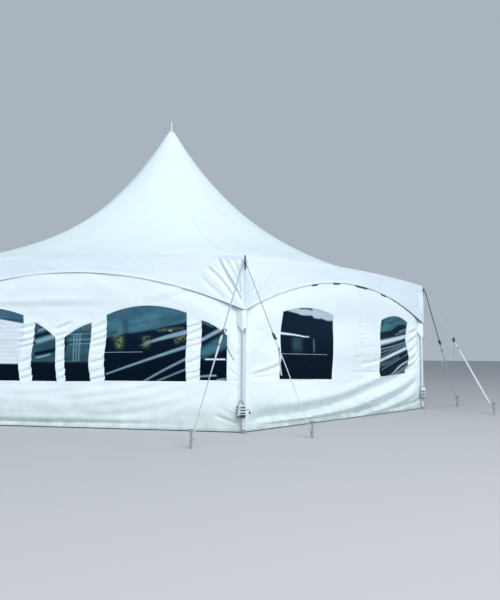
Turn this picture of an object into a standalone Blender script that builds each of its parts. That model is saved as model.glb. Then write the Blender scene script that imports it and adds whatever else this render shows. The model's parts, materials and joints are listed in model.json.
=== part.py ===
"""A six-sided marquee tent, from ground level up.

A high-peaked membrane roof hangs from a centre pole and six legs. Arched valances hang from
its edge, walls with clear windows close the sides, and twin ratchet guys hold each leg to
two steel stakes. Units are metres and +Z is up. The origin is the middle of the floor.

A side's own frame has X to the right as seen from outside, -Y outward and its origin at the
middle of the floor. A corner's own frame is the same, with its origin at the leg's foot.
"""
import math

import bmesh
import bpy
from mathutils import Matrix, Vector

# Plan and heights
SIDE_LENGTH = 5.30
EAVE_HEIGHT = 2.44
EAVE_RISE = 0.085
PEAK_HEIGHT = 5.95
MAST_TIP_HEIGHT = 6.22

# Shape of the roof along a hip: a straight share of the rise and a curved one
HIP_STRAIGHT_SHARE = 0.32
HIP_CURVE_POWER = 2.7
RING_ROUNDNESS_POWER = 1.6
ROOF_RINGS = 11
SPANS_PER_SIDE = 8

# Fabric and clearances
ROOF_SKIN = 0.008
VALANCE_SKIN = 0.008
WALL_SKIN = 0.006
WINDOW_SKIN = 0.003
CLEARANCE = 0.0003
FABRIC_SEAT = 0.0006
LEG_TO_FABRIC = 0.004

# Valance and walls
VALANCE_ARCH_DROP = 0.175
VALANCE_FOOT_DROP = 0.76
WALL_HEM_HEIGHT = 0.012
WINDOW_LAP = 0.045

# Windows of a wall with two three-light sets
SET_SPACING = 2.575
SET_SHIFT = -0.074
MIDDLE_LIGHT_WIDTH = 1.235
SIDE_LIGHT_WIDTH = 0.38
LIGHT_SPACING = 0.21
SILL_HEIGHT = 0.70
MIDDLE_SPRING_HEIGHT = 1.665
MIDDLE_CROWN_HEIGHT = 1.78
SIDE_LIGHT_TALL = 1.56
SIDE_LIGHT_SHORT = 1.33
SIDE_LIGHT_CROWN = 0.035

# Windows of a wall with two arched lights
WIDE_LIGHT_WIDTH = 1.355
WIDE_LIGHT_PLACE = -1.10
NARROW_LIGHT_WIDTH = 0.96
NARROW_LIGHT_PLACE = 1.60
ARCHED_SPRING_HEIGHT = 1.71
ARCHED_CROWN_HEIGHT = 1.805
ARC_STEPS = 8

# Legs
LEG_RADIUS = 0.03175
INNER_LEG_RADIUS = 0.024
LEG_FOOT_RADIUS = 0.0375
LEG_FOOT_HEIGHT = 0.05
EAVE_TO_TUBE = 0.04
LEG_PIN_RADIUS = 0.010
TUBE_SEGMENTS = 16

# Jack on each leg
JACK_BOTTOM = 0.207
JACK_TOP = 0.427
JACK_WIDTH = 0.117
JACK_INWARD = 0.033
JACK_OUTWARD = 0.062
JACK_CORNER = 0.012
CRANK_HEIGHT = 0.325
CRANK_REACH = 0.11
CRANK_RADIUS = 0.009
KNOB_RADIUS = 0.018
KNOB_LENGTH = 0.05

# Lug at a leg's head, with the cross pin that carries an eye of each guy
LUG_THICKNESS = 0.008
LUG_REACH = 0.095
TUBE_TO_LUG = 0.005
LUG_DEPTH = 0.06
CROSS_PIN_RADIUS = 0.007
CROSS_PIN_OUT = 0.078
CROSS_PIN_HALF_LENGTH = 0.048
EYE_RADIUS = 0.017
EYE_LENGTH = 0.034

# Guys
UPPER_STRAP_WIDTH = 0.032
LOWER_STRAP_WIDTH = 0.050
STRAP_THICKNESS = 0.006
RATCHET_LENGTH = 0.16
RATCHET_WIDTH = 0.064
RATCHET_THICKNESS = 0.046
BUCKLE_SPACING = 0.20
BUCKLE_LENGTH = 0.045
BUCKLE_THICKNESS = 0.020
GUY_PLANS = {
    "left": {"stake": (-1.01, -1.18), "hook_height": 0.08, "ratchet_at": 1.20},
    "right": {"stake": (0.70, -0.74), "hook_height": 0.055, "ratchet_at": 1.10},
}

# Stakes
STAKE_RADIUS = 0.0125
STAKE_HEIGHT = 0.22
STAKE_HEAD_RADIUS = 0.044
STAKE_HEAD_THICKNESS = 0.016
HOOK_RADIUS = 0.022
HOOK_HEIGHT = 0.028

# Centre pole
POLE_RADIUS = 0.051
POLE_BASE_SIZE = 0.32
POLE_BASE_THICKNESS = 0.012
MEMBRANE_HOLE_RADIUS = 0.075
CROWN_FLANGE_RADIUS = 0.11
CROWN_FLANGE_THICKNESS = 0.014
CROWN_SLEEVE_RADIUS = 0.035
CROWN_CAP_RADIUS = 0.085
CROWN_CAP_HEIGHT = 0.050
SPIKE_RADIUS = 0.018
SPIKE_TIP_RADIUS = 0.008

# Names of the sides by the way they face, and of the corners by where they stand
SIDE_NAMES = {
    "front": -90.0,
    "front_right": -30.0,
    "back_right": 30.0,
    "back": 90.0,
    "back_left": 150.0,
    "front_left": 210.0,
}
CORNER_NAMES = {
    "front_right": -60.0,
    "right": 0.0,
    "back_right": 60.0,
    "back_left": 120.0,
    "left": 180.0,
    "front_left": 240.0,
}
THREE_LIGHT_SIDES = ("front", "back_right", "back_left")

# Sizes that follow from the ones above
HALF_ANGLE = math.pi / len(SIDE_NAMES)
APOTHEM = SIDE_LENGTH / 2.0 / math.tan(HALF_ANGLE)
CORNER_RADIUS = SIDE_LENGTH / 2.0 / math.sin(HALF_ANGLE)
VALANCE_IN = LEG_RADIUS + LEG_TO_FABRIC
VALANCE_OUT = VALANCE_IN + VALANCE_SKIN
WALL_OUT = -(LEG_RADIUS + LEG_TO_FABRIC)
WALL_IN = WALL_OUT - WALL_SKIN
EAVE_STRIP = VALANCE_OUT - WALL_IN
VALANCE_ARCH_HEIGHT = EAVE_HEIGHT - VALANCE_ARCH_DROP
VALANCE_FOOT_HEIGHT = EAVE_HEIGHT - VALANCE_FOOT_DROP
LEG_TUBE_TOP = EAVE_HEIGHT - EAVE_TO_TUBE
LUG_TOP = LEG_TUBE_TOP - TUBE_TO_LUG
LUG_BOTTOM = LUG_TOP - LUG_DEPTH
PIN_HEIGHT = (LUG_BOTTOM + LUG_TOP) / 2.0


def half_length(offset):
    """Half of a side's length, mitre to mitre, at this distance outside the legs' line."""
    return (APOTHEM + offset) * math.tan(HALF_ANGLE)


def hip_rise(share):
    """Share of the roof's rise at this share of the way from the edge to the peak."""
    return HIP_STRAIGHT_SHARE * share + (1.0 - HIP_STRAIGHT_SHARE) * share ** HIP_CURVE_POWER


def ring_shares():
    """Shares of the way to the peak at which the roof has a ring of points."""
    edge_to_hole = APOTHEM + VALANCE_OUT - MEMBRANE_HOLE_RADIUS
    first = EAVE_STRIP / edge_to_hole
    rest = [first + (1.0 - first) * i / (ROOF_RINGS - 2) for i in range(ROOF_RINGS - 1)]
    return [0.0] + rest


def edge_bow(across):
    """Rise of the roof's edge where across runs from -1 to 1 along a side."""
    return EAVE_RISE * (1.0 - across * across)


def spans():
    """Places along a side, from -1 to 1, that the roof, valance and wall share."""
    return [2.0 * i / SPANS_PER_SIDE - 1.0 for i in range(SPANS_PER_SIDE + 1)]


def straight_between(across):
    """Rise of the edge as the straight spans between shared places have it."""
    places = spans()
    for low, high in zip(places, places[1:]):
        if across <= high:
            break
    weight = (across - low) / (high - low)
    return edge_bow(low) * (1.0 - weight) + edge_bow(high) * weight


def roof_slope(share):
    """Slope of the roof along a hip."""
    step = 0.0005
    low = max(share - step, 0.0)
    high = min(share + step, 1.0)
    rise = (hip_rise(high) - hip_rise(low)) * (PEAK_HEIGHT - EAVE_HEIGHT)
    return rise / ((high - low) * (APOTHEM + VALANCE_OUT - MEMBRANE_HOLE_RADIUS))


def skin_drop(share):
    """Height from the roof's upper face to its lower one."""
    return ROOF_SKIN * math.sqrt(1.0 + roof_slope(share) ** 2)


def roof_point(share, across):
    """Point of the roof's upper face in a side's own frame."""
    apothem = (APOTHEM + VALANCE_OUT) * (1.0 - share) + MEMBRANE_HOLE_RADIUS * share
    flat = Vector((apothem * math.tan(HALF_ANGLE) * across, -apothem))
    angle = HALF_ANGLE * across
    round_ring = Vector((math.sin(angle), -math.cos(angle))) * apothem
    roundness = max(0.0, (share - ring_shares()[1])) ** RING_ROUNDNESS_POWER
    plan = flat.lerp(round_ring, min(1.0, roundness))
    height = EAVE_HEIGHT + (PEAK_HEIGHT - EAVE_HEIGHT) * hip_rise(share)
    return Vector((plan.x, plan.y, height + edge_bow(across) * (1.0 - share) ** 2))


def under_roof(offset, x, edge_rise):
    """Height of the roof's lower face over a point near the edge, in a side's own frame."""
    first = ring_shares()[1]
    share = first * (VALANCE_OUT - offset) / EAVE_STRIP
    low = EAVE_HEIGHT - skin_drop(0.0)
    high = EAVE_HEIGHT + (PEAK_HEIGHT - EAVE_HEIGHT) * hip_rise(first) - skin_drop(first)
    fade = 1.0 - share / first + (share / first) * (1.0 - first) ** 2
    return low + (high - low) * share / first + edge_rise(x / half_length(offset)) * fade


def material(name, color, roughness, metallic=0.0, alpha=1.0):
    """A plain surface with this colour."""
    made = bpy.data.materials.new(name)
    made.use_nodes = True
    shader = made.node_tree.nodes["Principled BSDF"]
    shader.inputs["Base Color"].default_value = (*color, 1.0)
    shader.inputs["Roughness"].default_value = roughness
    shader.inputs["Metallic"].default_value = metallic
    shader.inputs["Alpha"].default_value = alpha
    made.diffuse_color = (*color, alpha)
    return made


def mesh_from(bm, name):
    """Turn a bmesh into a mesh with its faces pointing out."""
    bmesh.ops.recalc_face_normals(bm, faces=bm.faces)
    mesh = bpy.data.meshes.new(name)
    bm.to_mesh(mesh)
    bm.free()
    return mesh


def place(name, mesh, surface, parent, matrix=None, smooth=True):
    """Make a named object of this mesh under an empty."""
    made = bpy.data.objects.new(name, mesh)
    bpy.context.scene.collection.objects.link(made)
    if not mesh.materials:
        mesh.materials.append(surface)
    if smooth:
        mesh.shade_smooth()
        mesh.set_sharp_from_angle(angle=math.radians(35.0))
    made.parent = parent
    made.matrix_local = matrix or Matrix.Identity(4)
    return made


def turn(profile, segments):
    """Turn a profile of (radius, height) points, both ends on the axis, into a closed solid."""
    bm = bmesh.new()
    points = [bm.verts.new((radius, 0.0, height)) for radius, height in profile]
    edges = [bm.edges.new(pair) for pair in zip(points, points[1:])]
    bmesh.ops.spin(bm, geom=points + edges, axis=(0, 0, 1), cent=(0, 0, 0),
                   steps=segments, angle=2.0 * math.pi, use_merge=True)
    bmesh.ops.remove_doubles(bm, verts=bm.verts, dist=1e-6)
    return bm


def block(low, high):
    """A box between two corners."""
    bm = bmesh.new()
    middle = (Vector(low) + Vector(high)) / 2.0
    size = Vector(high) - Vector(low)
    bmesh.ops.create_cube(bm, size=1.0, matrix=Matrix.Translation(middle) @ Matrix.Diagonal((*size, 1.0)))
    return bm


def rod(start, end, radius, segments):
    """A plain cylinder between two points."""
    bm = bmesh.new()
    start = Vector(start)
    end = Vector(end)
    turned = Vector((0, 0, 1)).rotation_difference(end - start).to_matrix().to_4x4()
    matrix = Matrix.Translation((start + end) / 2.0) @ turned
    bmesh.ops.create_cone(bm, cap_ends=True, segments=segments, radius1=radius, radius2=radius,
                          depth=(end - start).length, matrix=matrix)
    return bm


def combine(base, added=(), cut=()):
    """Join solids to a base and cut others from it, and give the mesh that results."""
    scene = bpy.context.scene
    body = bpy.data.objects.new("body", mesh_from(base, "body"))
    scene.collection.objects.link(body)
    tools = []
    for operation, solids in (("UNION", added), ("DIFFERENCE", cut)):
        for solid in solids:
            tool = bpy.data.objects.new("tool", mesh_from(solid, "tool"))
            tool.hide_render = True
            tool.display_type = "WIRE"
            scene.collection.objects.link(tool)
            step = body.modifiers.new(operation.title(), "BOOLEAN")
            step.operation = operation
            step.solver = "EXACT"
            step.object = tool
            tools.append(tool)
    depsgraph = bpy.context.evaluated_depsgraph_get()
    mesh = bpy.data.meshes.new_from_object(body.evaluated_get(depsgraph))
    for used in [body] + tools:
        bpy.data.objects.remove(used)
    return mesh


def roof_mesh():
    """The whole membrane: six gores with a hole for the mast, upper and lower faces and rims."""
    bm = bmesh.new()
    layers = []
    shares = ring_shares()
    for lower in (False, True):
        rings = []
        for share in shares:
            ring = []
            for angle in SIDE_NAMES.values():
                turned = Matrix.Rotation(math.radians(angle + 90.0), 3, "Z")
                for across in spans()[:-1]:
                    point = turned @ roof_point(share, across)
                    point.z -= skin_drop(share) if lower else 0.0
                    ring.append(bm.verts.new(point))
            rings.append(ring)
        layers.append(rings)
    count = len(layers[0][0])
    for rings in layers:
        for outer, inner in zip(rings, rings[1:]):
            for i in range(count):
                bm.faces.new((outer[i], outer[(i + 1) % count], inner[(i + 1) % count], inner[i]))
    for level in (0, -1):
        upper = layers[0][level]
        below = layers[1][level]
        for i in range(count):
            bm.faces.new((upper[i], below[i], below[(i + 1) % count], upper[(i + 1) % count]))
    return mesh_from(bm, "roof_canopy")


def panel(outline, holes, outer, inner, end_gap):
    """A flat sheet in a side's frame, between two offsets from the legs' line, mitred at its ends."""
    bm = bmesh.new()
    edges = []
    for loop in [outline] + holes:
        verts = [bm.verts.new((x, -(APOTHEM + outer), z)) for x, z in loop]
        edges += [bm.edges.new((verts[i - 1], verts[i])) for i in range(len(verts))]
    bmesh.ops.triangle_fill(bm, use_beauty=True, edges=edges)
    made = bmesh.ops.extrude_face_region(bm, geom=bm.faces[:])
    back = [item for item in made["geom"] if isinstance(item, bmesh.types.BMVert)]
    outer_end = half_length(outer) - end_gap
    inner_end = half_length(inner) - end_gap
    for vert in back:
        vert.co.y = -(APOTHEM + inner)
        if abs(vert.co.x) > outer_end - 1e-6:
            vert.co.x = math.copysign(inner_end, vert.co.x)
    return bm


def top_line(outer, end_gap):
    """Points along the underside of the roof, left to right, for a sheet that hangs from it."""
    end = half_length(outer) - end_gap
    places = [across * half_length(outer) for across in spans()]
    places = [-end] + [x for x in places if abs(x) < end] + [end]
    return [(x, under_roof(outer, x, straight_between) - FABRIC_SEAT) for x in places]


def valance_mesh():
    """The band that hangs from the roof's edge, with its bottom cut to an arch."""
    end_gap = (LUG_THICKNESS / 2.0 + CLEARANCE) / math.cos(HALF_ANGLE)
    top = top_line(VALANCE_OUT, end_gap)
    end = top[-1][0]
    bottom = []
    steps = 2 * SPANS_PER_SIDE
    for i in range(steps + 1):
        across = 1.0 - 2.0 * i / steps
        drop = (VALANCE_ARCH_HEIGHT - VALANCE_FOOT_HEIGHT) * across * across
        bottom.append((across * end, VALANCE_ARCH_HEIGHT - drop))
    return mesh_from(panel(top + bottom, [], VALANCE_OUT, VALANCE_IN, end_gap), "valance")


def arched_light(place_x, width, spring, crown):
    """Outline of a window with a curved head."""
    half = width / 2.0
    points = [(place_x - half, SILL_HEIGHT), (place_x + half, SILL_HEIGHT)]
    for i in range(ARC_STEPS + 1):
        across = 1.0 - 2.0 * i / ARC_STEPS
        points.append((place_x + across * half, spring + (crown - spring) * (1.0 - across * across)))
    return points


def side_light(place_x, tall_side):
    """Outline of a narrow window whose curved head climbs towards the middle light."""
    half = SIDE_LIGHT_WIDTH / 2.0
    points = [(place_x + half, SILL_HEIGHT), (place_x - half, SILL_HEIGHT)]
    for i in range(ARC_STEPS + 1):
        along = i / ARC_STEPS
        climb = along if tall_side > 0 else 1.0 - along
        height = SIDE_LIGHT_SHORT + (SIDE_LIGHT_TALL - SIDE_LIGHT_SHORT) * climb
        height += SIDE_LIGHT_CROWN * 4.0 * along * (1.0 - along)
        points.append((place_x - half + SIDE_LIGHT_WIDTH * along, height))
    return points


def three_light_windows():
    """Two sets, each with an arched light between two narrow ones."""
    holes = []
    reach = (MIDDLE_LIGHT_WIDTH + SIDE_LIGHT_WIDTH) / 2.0 + LIGHT_SPACING
    for way in (-1.0, 1.0):
        middle = SET_SHIFT + way * SET_SPACING / 2.0
        holes.append(side_light(middle - reach, 1.0))
        holes.append(arched_light(middle, MIDDLE_LIGHT_WIDTH, MIDDLE_SPRING_HEIGHT, MIDDLE_CROWN_HEIGHT))
        holes.append(side_light(middle + reach, -1.0))
    return holes


def two_light_windows():
    """One wide and one narrower arched light."""
    return [
        arched_light(WIDE_LIGHT_PLACE, WIDE_LIGHT_WIDTH, ARCHED_SPRING_HEIGHT, ARCHED_CROWN_HEIGHT),
        arched_light(NARROW_LIGHT_PLACE, NARROW_LIGHT_WIDTH, ARCHED_SPRING_HEIGHT, ARCHED_CROWN_HEIGHT),
    ]


def wall_mesh(holes):
    """A side wall that hangs from the roof inside the legs, cut through for its windows."""
    end_gap = CLEARANCE / 2.0 / math.cos(HALF_ANGLE)
    top = top_line(WALL_OUT, end_gap)
    end = top[-1][0]
    outline = top + [(end, WALL_HEM_HEIGHT), (-end, WALL_HEM_HEIGHT)]
    return mesh_from(panel(outline, holes, WALL_OUT, WALL_IN, end_gap), "sidewall")


def window_mesh(holes):
    """The clear sheet behind all the windows of one wall."""
    xs = [x for hole in holes for x, _ in hole]
    zs = [z for hole in holes for _, z in hole]
    outside = -(APOTHEM + WALL_IN) + CLEARANCE
    low = (min(xs) - WINDOW_LAP, outside, min(zs) - WINDOW_LAP)
    high = (max(xs) + WINDOW_LAP, outside + WINDOW_SKIN, max(zs) + WINDOW_LAP)
    return mesh_from(block(low, high), "window_sheet")


def leg_mesh():
    """A telescopic leg with its foot, its top pin and the lug that the guys pull on."""
    corner_out = (CORNER_RADIUS + LEG_PIN_RADIUS) * math.cos(HALF_ANGLE) - APOTHEM
    corner_x = (CORNER_RADIUS + LEG_PIN_RADIUS) * math.sin(HALF_ANGLE)
    pin_top = under_roof(corner_out, corner_x, straight_between) - FABRIC_SEAT
    tube_foot = JACK_TOP + CLEARANCE
    bore_foot = JACK_BOTTOM - 2.0 * CLEARANCE
    profile = [
        (0.0, 0.0),
        (LEG_FOOT_RADIUS, 0.0),
        (LEG_FOOT_RADIUS, LEG_FOOT_HEIGHT),
        (INNER_LEG_RADIUS, LEG_FOOT_HEIGHT),
        (INNER_LEG_RADIUS, bore_foot),
        (INNER_LEG_RADIUS, tube_foot),
        (LEG_RADIUS, tube_foot),
        (LEG_RADIUS, LEG_TUBE_TOP),
        (LEG_PIN_RADIUS, LEG_TUBE_TOP),
        (LEG_PIN_RADIUS, pin_top),
        (0.0, pin_top),
    ]
    half = LUG_THICKNESS / 2.0
    lug = block((-half, -LUG_REACH, LUG_BOTTOM), (half, 0.0, LUG_TOP))
    pin = rod((-CROSS_PIN_HALF_LENGTH, -CROSS_PIN_OUT, PIN_HEIGHT),
              (CROSS_PIN_HALF_LENGTH, -CROSS_PIN_OUT, PIN_HEIGHT), CROSS_PIN_RADIUS, TUBE_SEGMENTS)
    return combine(turn(profile, TUBE_SEGMENTS), [lug, pin])


def jack_mesh():
    """The jack around a leg, with a crank on its right-hand side."""
    half = JACK_WIDTH / 2.0
    body = block((-half, -JACK_OUTWARD, JACK_BOTTOM), (half, JACK_INWARD, JACK_TOP))
    upright = [edge for edge in body.edges if abs(edge.verts[0].co.z - edge.verts[1].co.z) > half]
    bmesh.ops.bevel(body, geom=upright, offset=JACK_CORNER, segments=2, affect="EDGES", profile=0.5)
    out = -(JACK_OUTWARD - JACK_INWARD)
    crank_end = CRANK_REACH
    crank = rod((half / 2.0, out, CRANK_HEIGHT), (crank_end, out, CRANK_HEIGHT), CRANK_RADIUS, TUBE_SEGMENTS // 2)
    knob = rod((crank_end - KNOB_RADIUS, out, CRANK_HEIGHT - KNOB_LENGTH),
               (crank_end - KNOB_RADIUS, out, CRANK_HEIGHT + KNOB_LENGTH / 2.0),
               KNOB_RADIUS, TUBE_SEGMENTS // 2)
    bore = rod((0.0, 0.0, JACK_BOTTOM - half), (0.0, 0.0, JACK_TOP + half),
               INNER_LEG_RADIUS + CLEARANCE, TUBE_SEGMENTS)
    return combine(body, [crank, knob], [bore])


def strap(start, end, ratchet_at):
    """One guy as a stepped band: upper strap, ratchet, strap, buckle and lower strap."""
    start = Vector(start)
    end = Vector(end)
    along = (end - start).normalized()
    wide = along.cross(Vector((0, 0, 1))).normalized()
    thick = wide.cross(along).normalized()
    length = (end - start).length
    ratchet_from = ratchet_at - RATCHET_LENGTH / 2.0
    ratchet_to = ratchet_at + RATCHET_LENGTH / 2.0
    buckle_from = ratchet_at + BUCKLE_SPACING - BUCKLE_LENGTH / 2.0
    buckle_to = buckle_from + BUCKLE_LENGTH
    ease = STRAP_THICKNESS / 2.0
    sections = [
        (0.0, UPPER_STRAP_WIDTH, STRAP_THICKNESS),
        (ratchet_from - ease, UPPER_STRAP_WIDTH, STRAP_THICKNESS),
        (ratchet_from, RATCHET_WIDTH, RATCHET_THICKNESS),
        (ratchet_to, RATCHET_WIDTH, RATCHET_THICKNESS),
        (ratchet_to + ease, LOWER_STRAP_WIDTH, STRAP_THICKNESS),
        (buckle_from - ease, LOWER_STRAP_WIDTH, STRAP_THICKNESS),
        (buckle_from, RATCHET_WIDTH, BUCKLE_THICKNESS),
        (buckle_to, RATCHET_WIDTH, BUCKLE_THICKNESS),
        (buckle_to + ease, LOWER_STRAP_WIDTH, STRAP_THICKNESS),
        (length, LOWER_STRAP_WIDTH / 2.0, STRAP_THICKNESS),
    ]
    bm = bmesh.new()
    rings = []
    for distance, width, depth in sections:
        centre = start + along * distance
        corners = [(-1, -1), (1, -1), (1, 1), (-1, 1)]
        rings.append([bm.verts.new(centre + wide * (a * width / 2.0) + thick * (b * depth / 2.0))
                      for a, b in corners])
    for first, second in zip(rings, rings[1:]):
        for i in range(4):
            bm.faces.new((first[i], first[(i + 1) % 4], second[(i + 1) % 4], second[i]))
    bm.faces.new(rings[0])
    bm.faces.new(rings[-1])
    return bm


def guy_mesh(hand):
    """A guy with the eye on the leg's cross pin and the hook around its stake."""
    plan = GUY_PLANS[hand]
    side = -1.0 if hand == "left" else 1.0
    inner = side * (LUG_THICKNESS / 2.0 + CLEARANCE)
    outer = inner + side * EYE_LENGTH
    eye = rod((inner, -CROSS_PIN_OUT, PIN_HEIGHT), (outer, -CROSS_PIN_OUT, PIN_HEIGHT),
              EYE_RADIUS, TUBE_SEGMENTS)
    x, y = plan["stake"]
    foot = Vector((x, y, plan["hook_height"]))
    middle = Vector(((inner + outer) / 2.0, -CROSS_PIN_OUT, PIN_HEIGHT))
    head = middle + (foot - middle).normalized() * (CROSS_PIN_RADIUS + EYE_RADIUS) / 2.0
    level = Vector((head.x - x, head.y - y, 0.0)).normalized()
    end = foot + level * (STAKE_RADIUS + HOOK_RADIUS) / 2.0
    rise = Vector((0, 0, HOOK_HEIGHT / 2.0))
    hook = rod(foot - rise, foot + rise, HOOK_RADIUS, TUBE_SEGMENTS)
    stake_hole = rod(foot - 4.0 * rise, foot + 4.0 * rise, STAKE_RADIUS + CLEARANCE, TUBE_SEGMENTS)
    aside = Vector((EYE_LENGTH, 0, 0))
    pin_hole = rod(middle - aside, middle + aside, CROSS_PIN_RADIUS + CLEARANCE, TUBE_SEGMENTS)
    return combine(strap(head, end, plan["ratchet_at"]), [eye, hook], [stake_hole, pin_hole])


def stake_mesh():
    """A driven steel stake with a mushroom head."""
    neck = STAKE_HEIGHT - STAKE_HEAD_THICKNESS
    profile = [
        (0.0, 0.0),
        (STAKE_RADIUS, 0.0),
        (STAKE_RADIUS, neck - STAKE_HEAD_THICKNESS / 2.0),
        (STAKE_HEAD_RADIUS, neck),
        (STAKE_HEAD_RADIUS, neck + STAKE_HEAD_THICKNESS / 2.0),
        (STAKE_HEAD_RADIUS / 2.0, STAKE_HEIGHT),
        (0.0, STAKE_HEIGHT),
    ]
    return mesh_from(turn(profile, TUBE_SEGMENTS), "stake")


def crown_flange_top():
    """Height at which the crown's flange meets the underside of the membrane."""
    shares = ring_shares()
    radii = [-roof_point(share, 0.0).y for share in shares]
    heights = [roof_point(share, 1.0).z - skin_drop(share) for share in shares]
    weight = (CROWN_FLANGE_RADIUS - radii[-1]) / (radii[-2] - radii[-1])
    return heights[-1] + (heights[-2] - heights[-1]) * weight - FABRIC_SEAT


def pole_mesh():
    """The centre pole, a tube standing on a square base plate."""
    half = POLE_BASE_SIZE / 2.0
    top = crown_flange_top() - CROWN_FLANGE_THICKNESS - CLEARANCE
    plate = block((-half, -half, 0.0), (half, half, POLE_BASE_THICKNESS))
    tube = rod((0, 0, POLE_BASE_THICKNESS / 2.0), (0, 0, top), POLE_RADIUS, 2 * TUBE_SEGMENTS)
    return combine(plate, [tube])


def crown_mesh():
    """The turned head of the mast: a flange under the membrane, a cap over it and a spike."""
    flange_top = crown_flange_top()
    cap_bottom = PEAK_HEIGHT + FABRIC_SEAT
    profile = [
        (0.0, flange_top - CROWN_FLANGE_THICKNESS),
        (CROWN_FLANGE_RADIUS, flange_top - CROWN_FLANGE_THICKNESS),
        (CROWN_FLANGE_RADIUS, flange_top),
        (CROWN_SLEEVE_RADIUS, flange_top),
        (CROWN_SLEEVE_RADIUS, cap_bottom),
        (CROWN_CAP_RADIUS, cap_bottom),
        (CROWN_CAP_RADIUS, cap_bottom + CROWN_CAP_HEIGHT / 5.0),
        (SPIKE_RADIUS, cap_bottom + CROWN_CAP_HEIGHT),
        (SPIKE_TIP_RADIUS, MAST_TIP_HEIGHT),
        (0.0, MAST_TIP_HEIGHT),
    ]
    return mesh_from(turn(profile, 2 * TUBE_SEGMENTS), "mast_crown")


def build_sides(parent, fabric, clear):
    """Valance, wall and window sheet of each side."""
    valance = valance_mesh()
    windows = {True: three_light_windows(), False: two_light_windows()}
    walls = {three: wall_mesh(holes) for three, holes in windows.items()}
    sheets = {three: window_mesh(holes) for three, holes in windows.items()}
    for name, angle in SIDE_NAMES.items():
        turned = Matrix.Rotation(math.radians(angle + 90.0), 4, "Z")
        three = name in THREE_LIGHT_SIDES
        place(f"valance_{name}", valance, fabric, parent, turned, smooth=False)
        place(f"sidewall_{name}", walls[three], fabric, parent, turned, smooth=False)
        place(f"window_sheet_{name}", sheets[three], clear, parent, turned, smooth=False)


def build_corners(parent, tube, casting, webbing, steel):
    """Leg, jack, guys and stakes of each corner."""
    leg = leg_mesh()
    jack = jack_mesh()
    guys = {hand: guy_mesh(hand) for hand in GUY_PLANS}
    stake = stake_mesh()
    for name, angle in CORNER_NAMES.items():
        turned = Matrix.Rotation(math.radians(angle), 4, "Z") @ Matrix.Translation((CORNER_RADIUS, 0.0, 0.0))
        turned = turned @ Matrix.Rotation(math.radians(90.0), 4, "Z")
        place(f"leg_{name}", leg, tube, parent, turned)
        place(f"leg_jack_{name}", jack, casting, parent, turned)
        for hand, plan in GUY_PLANS.items():
            place(f"guy_{name}_{hand}", guys[hand], webbing, parent, turned, smooth=False)
            x, y = plan["stake"]
            foot = turned @ Matrix.Translation((x, y, 0.0))
            place(f"stake_{name}_{hand}", stake, steel, parent, foot)


def main():
    """Clear the scene and build the tent."""
    for old in list(bpy.data.objects):
        bpy.data.objects.remove(old)
    tent = bpy.data.objects.new("marquee_tent", None)
    bpy.context.scene.collection.objects.link(tent)
    fabric = material("white_coated_fabric", (0.86, 0.86, 0.90), 0.45)
    clear = material("clear_window_vinyl", (0.10, 0.12, 0.20), 0.12, alpha=0.5)
    tube = material("anodised_tube", (0.66, 0.64, 0.72), 0.35, 0.9)
    casting = material("jack_casting", (0.50, 0.60, 0.62), 0.45, 0.6)
    webbing = material("guy_webbing", (0.62, 0.60, 0.66), 0.75)
    steel = material("stake_steel", (0.45, 0.45, 0.46), 0.5, 0.9)
    place("roof_canopy", roof_mesh(), fabric, tent)
    build_sides(tent, fabric, clear)
    build_corners(tent, tube, casting, webbing, steel)
    place("centre_pole", pole_mesh(), tube, tent)
    place("mast_crown", crown_mesh(), steel, tent)


main()
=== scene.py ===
"""Dresses a six-sided marquee tent for rendering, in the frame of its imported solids.

Units are metres and +Z is up. A side's own frame has X to the right as seen from outside, -Y
outward and its origin at the middle of the floor. A corner's own frame has the same axes and
its origin at the leg's foot. A spot on a side is its (x, z) in the side's own frame.
"""
import json
import logging
import random
from collections.abc import Iterable, Sequence
from dataclasses import dataclass
from enum import Enum
from math import atan2, cos, hypot, pi, prod, radians, sin, tan, tau

import bmesh
import bpy
import numpy as np
from mathutils import Matrix, Quaternion, Vector
from mathutils.geometry import delaunay_2d_cdt


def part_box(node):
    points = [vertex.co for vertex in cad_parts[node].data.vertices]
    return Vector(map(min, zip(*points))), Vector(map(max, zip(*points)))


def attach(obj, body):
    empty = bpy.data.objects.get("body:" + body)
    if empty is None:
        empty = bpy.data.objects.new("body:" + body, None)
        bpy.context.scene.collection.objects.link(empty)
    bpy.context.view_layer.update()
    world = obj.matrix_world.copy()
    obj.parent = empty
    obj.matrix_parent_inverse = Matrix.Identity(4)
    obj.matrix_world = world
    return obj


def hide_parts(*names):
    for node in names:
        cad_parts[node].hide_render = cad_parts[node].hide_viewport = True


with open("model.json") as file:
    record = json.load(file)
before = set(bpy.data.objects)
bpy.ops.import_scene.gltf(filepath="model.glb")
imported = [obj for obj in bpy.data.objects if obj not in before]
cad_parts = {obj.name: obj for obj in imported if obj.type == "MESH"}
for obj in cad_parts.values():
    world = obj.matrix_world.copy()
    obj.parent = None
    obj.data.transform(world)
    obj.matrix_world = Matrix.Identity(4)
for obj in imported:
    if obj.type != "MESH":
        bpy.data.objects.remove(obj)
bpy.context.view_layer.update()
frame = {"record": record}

LOG = logging.getLogger("marquee")
Color = tuple[float, float, float]
Spot = tuple[float, float]
Points = Sequence[Sequence[float]]
Array = np.ndarray
Mesh = bpy.types.Mesh
Socket = bpy.types.NodeSocket
HOME = Matrix.Identity(4)


def turn(degrees: float, axis: str) -> Matrix:
    """A turn about an axis through the origin."""
    return Matrix.Rotation(radians(degrees), 4, axis)


def move(x: float, y: float, z: float) -> Matrix:
    """A shift along the axes."""
    return Matrix.Translation((x, y, z))


class Lights(Enum):
    """The pattern of windows in a side wall."""

    THREE = "two sets of an arched light between two narrow ones"
    TWO = "one wide and one narrower arched light"


class Named(Enum):
    """A choice whose label is its name in the record."""

    @property
    def label(self) -> str:
        """The name in the record."""
        return self.name.lower()


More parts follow.
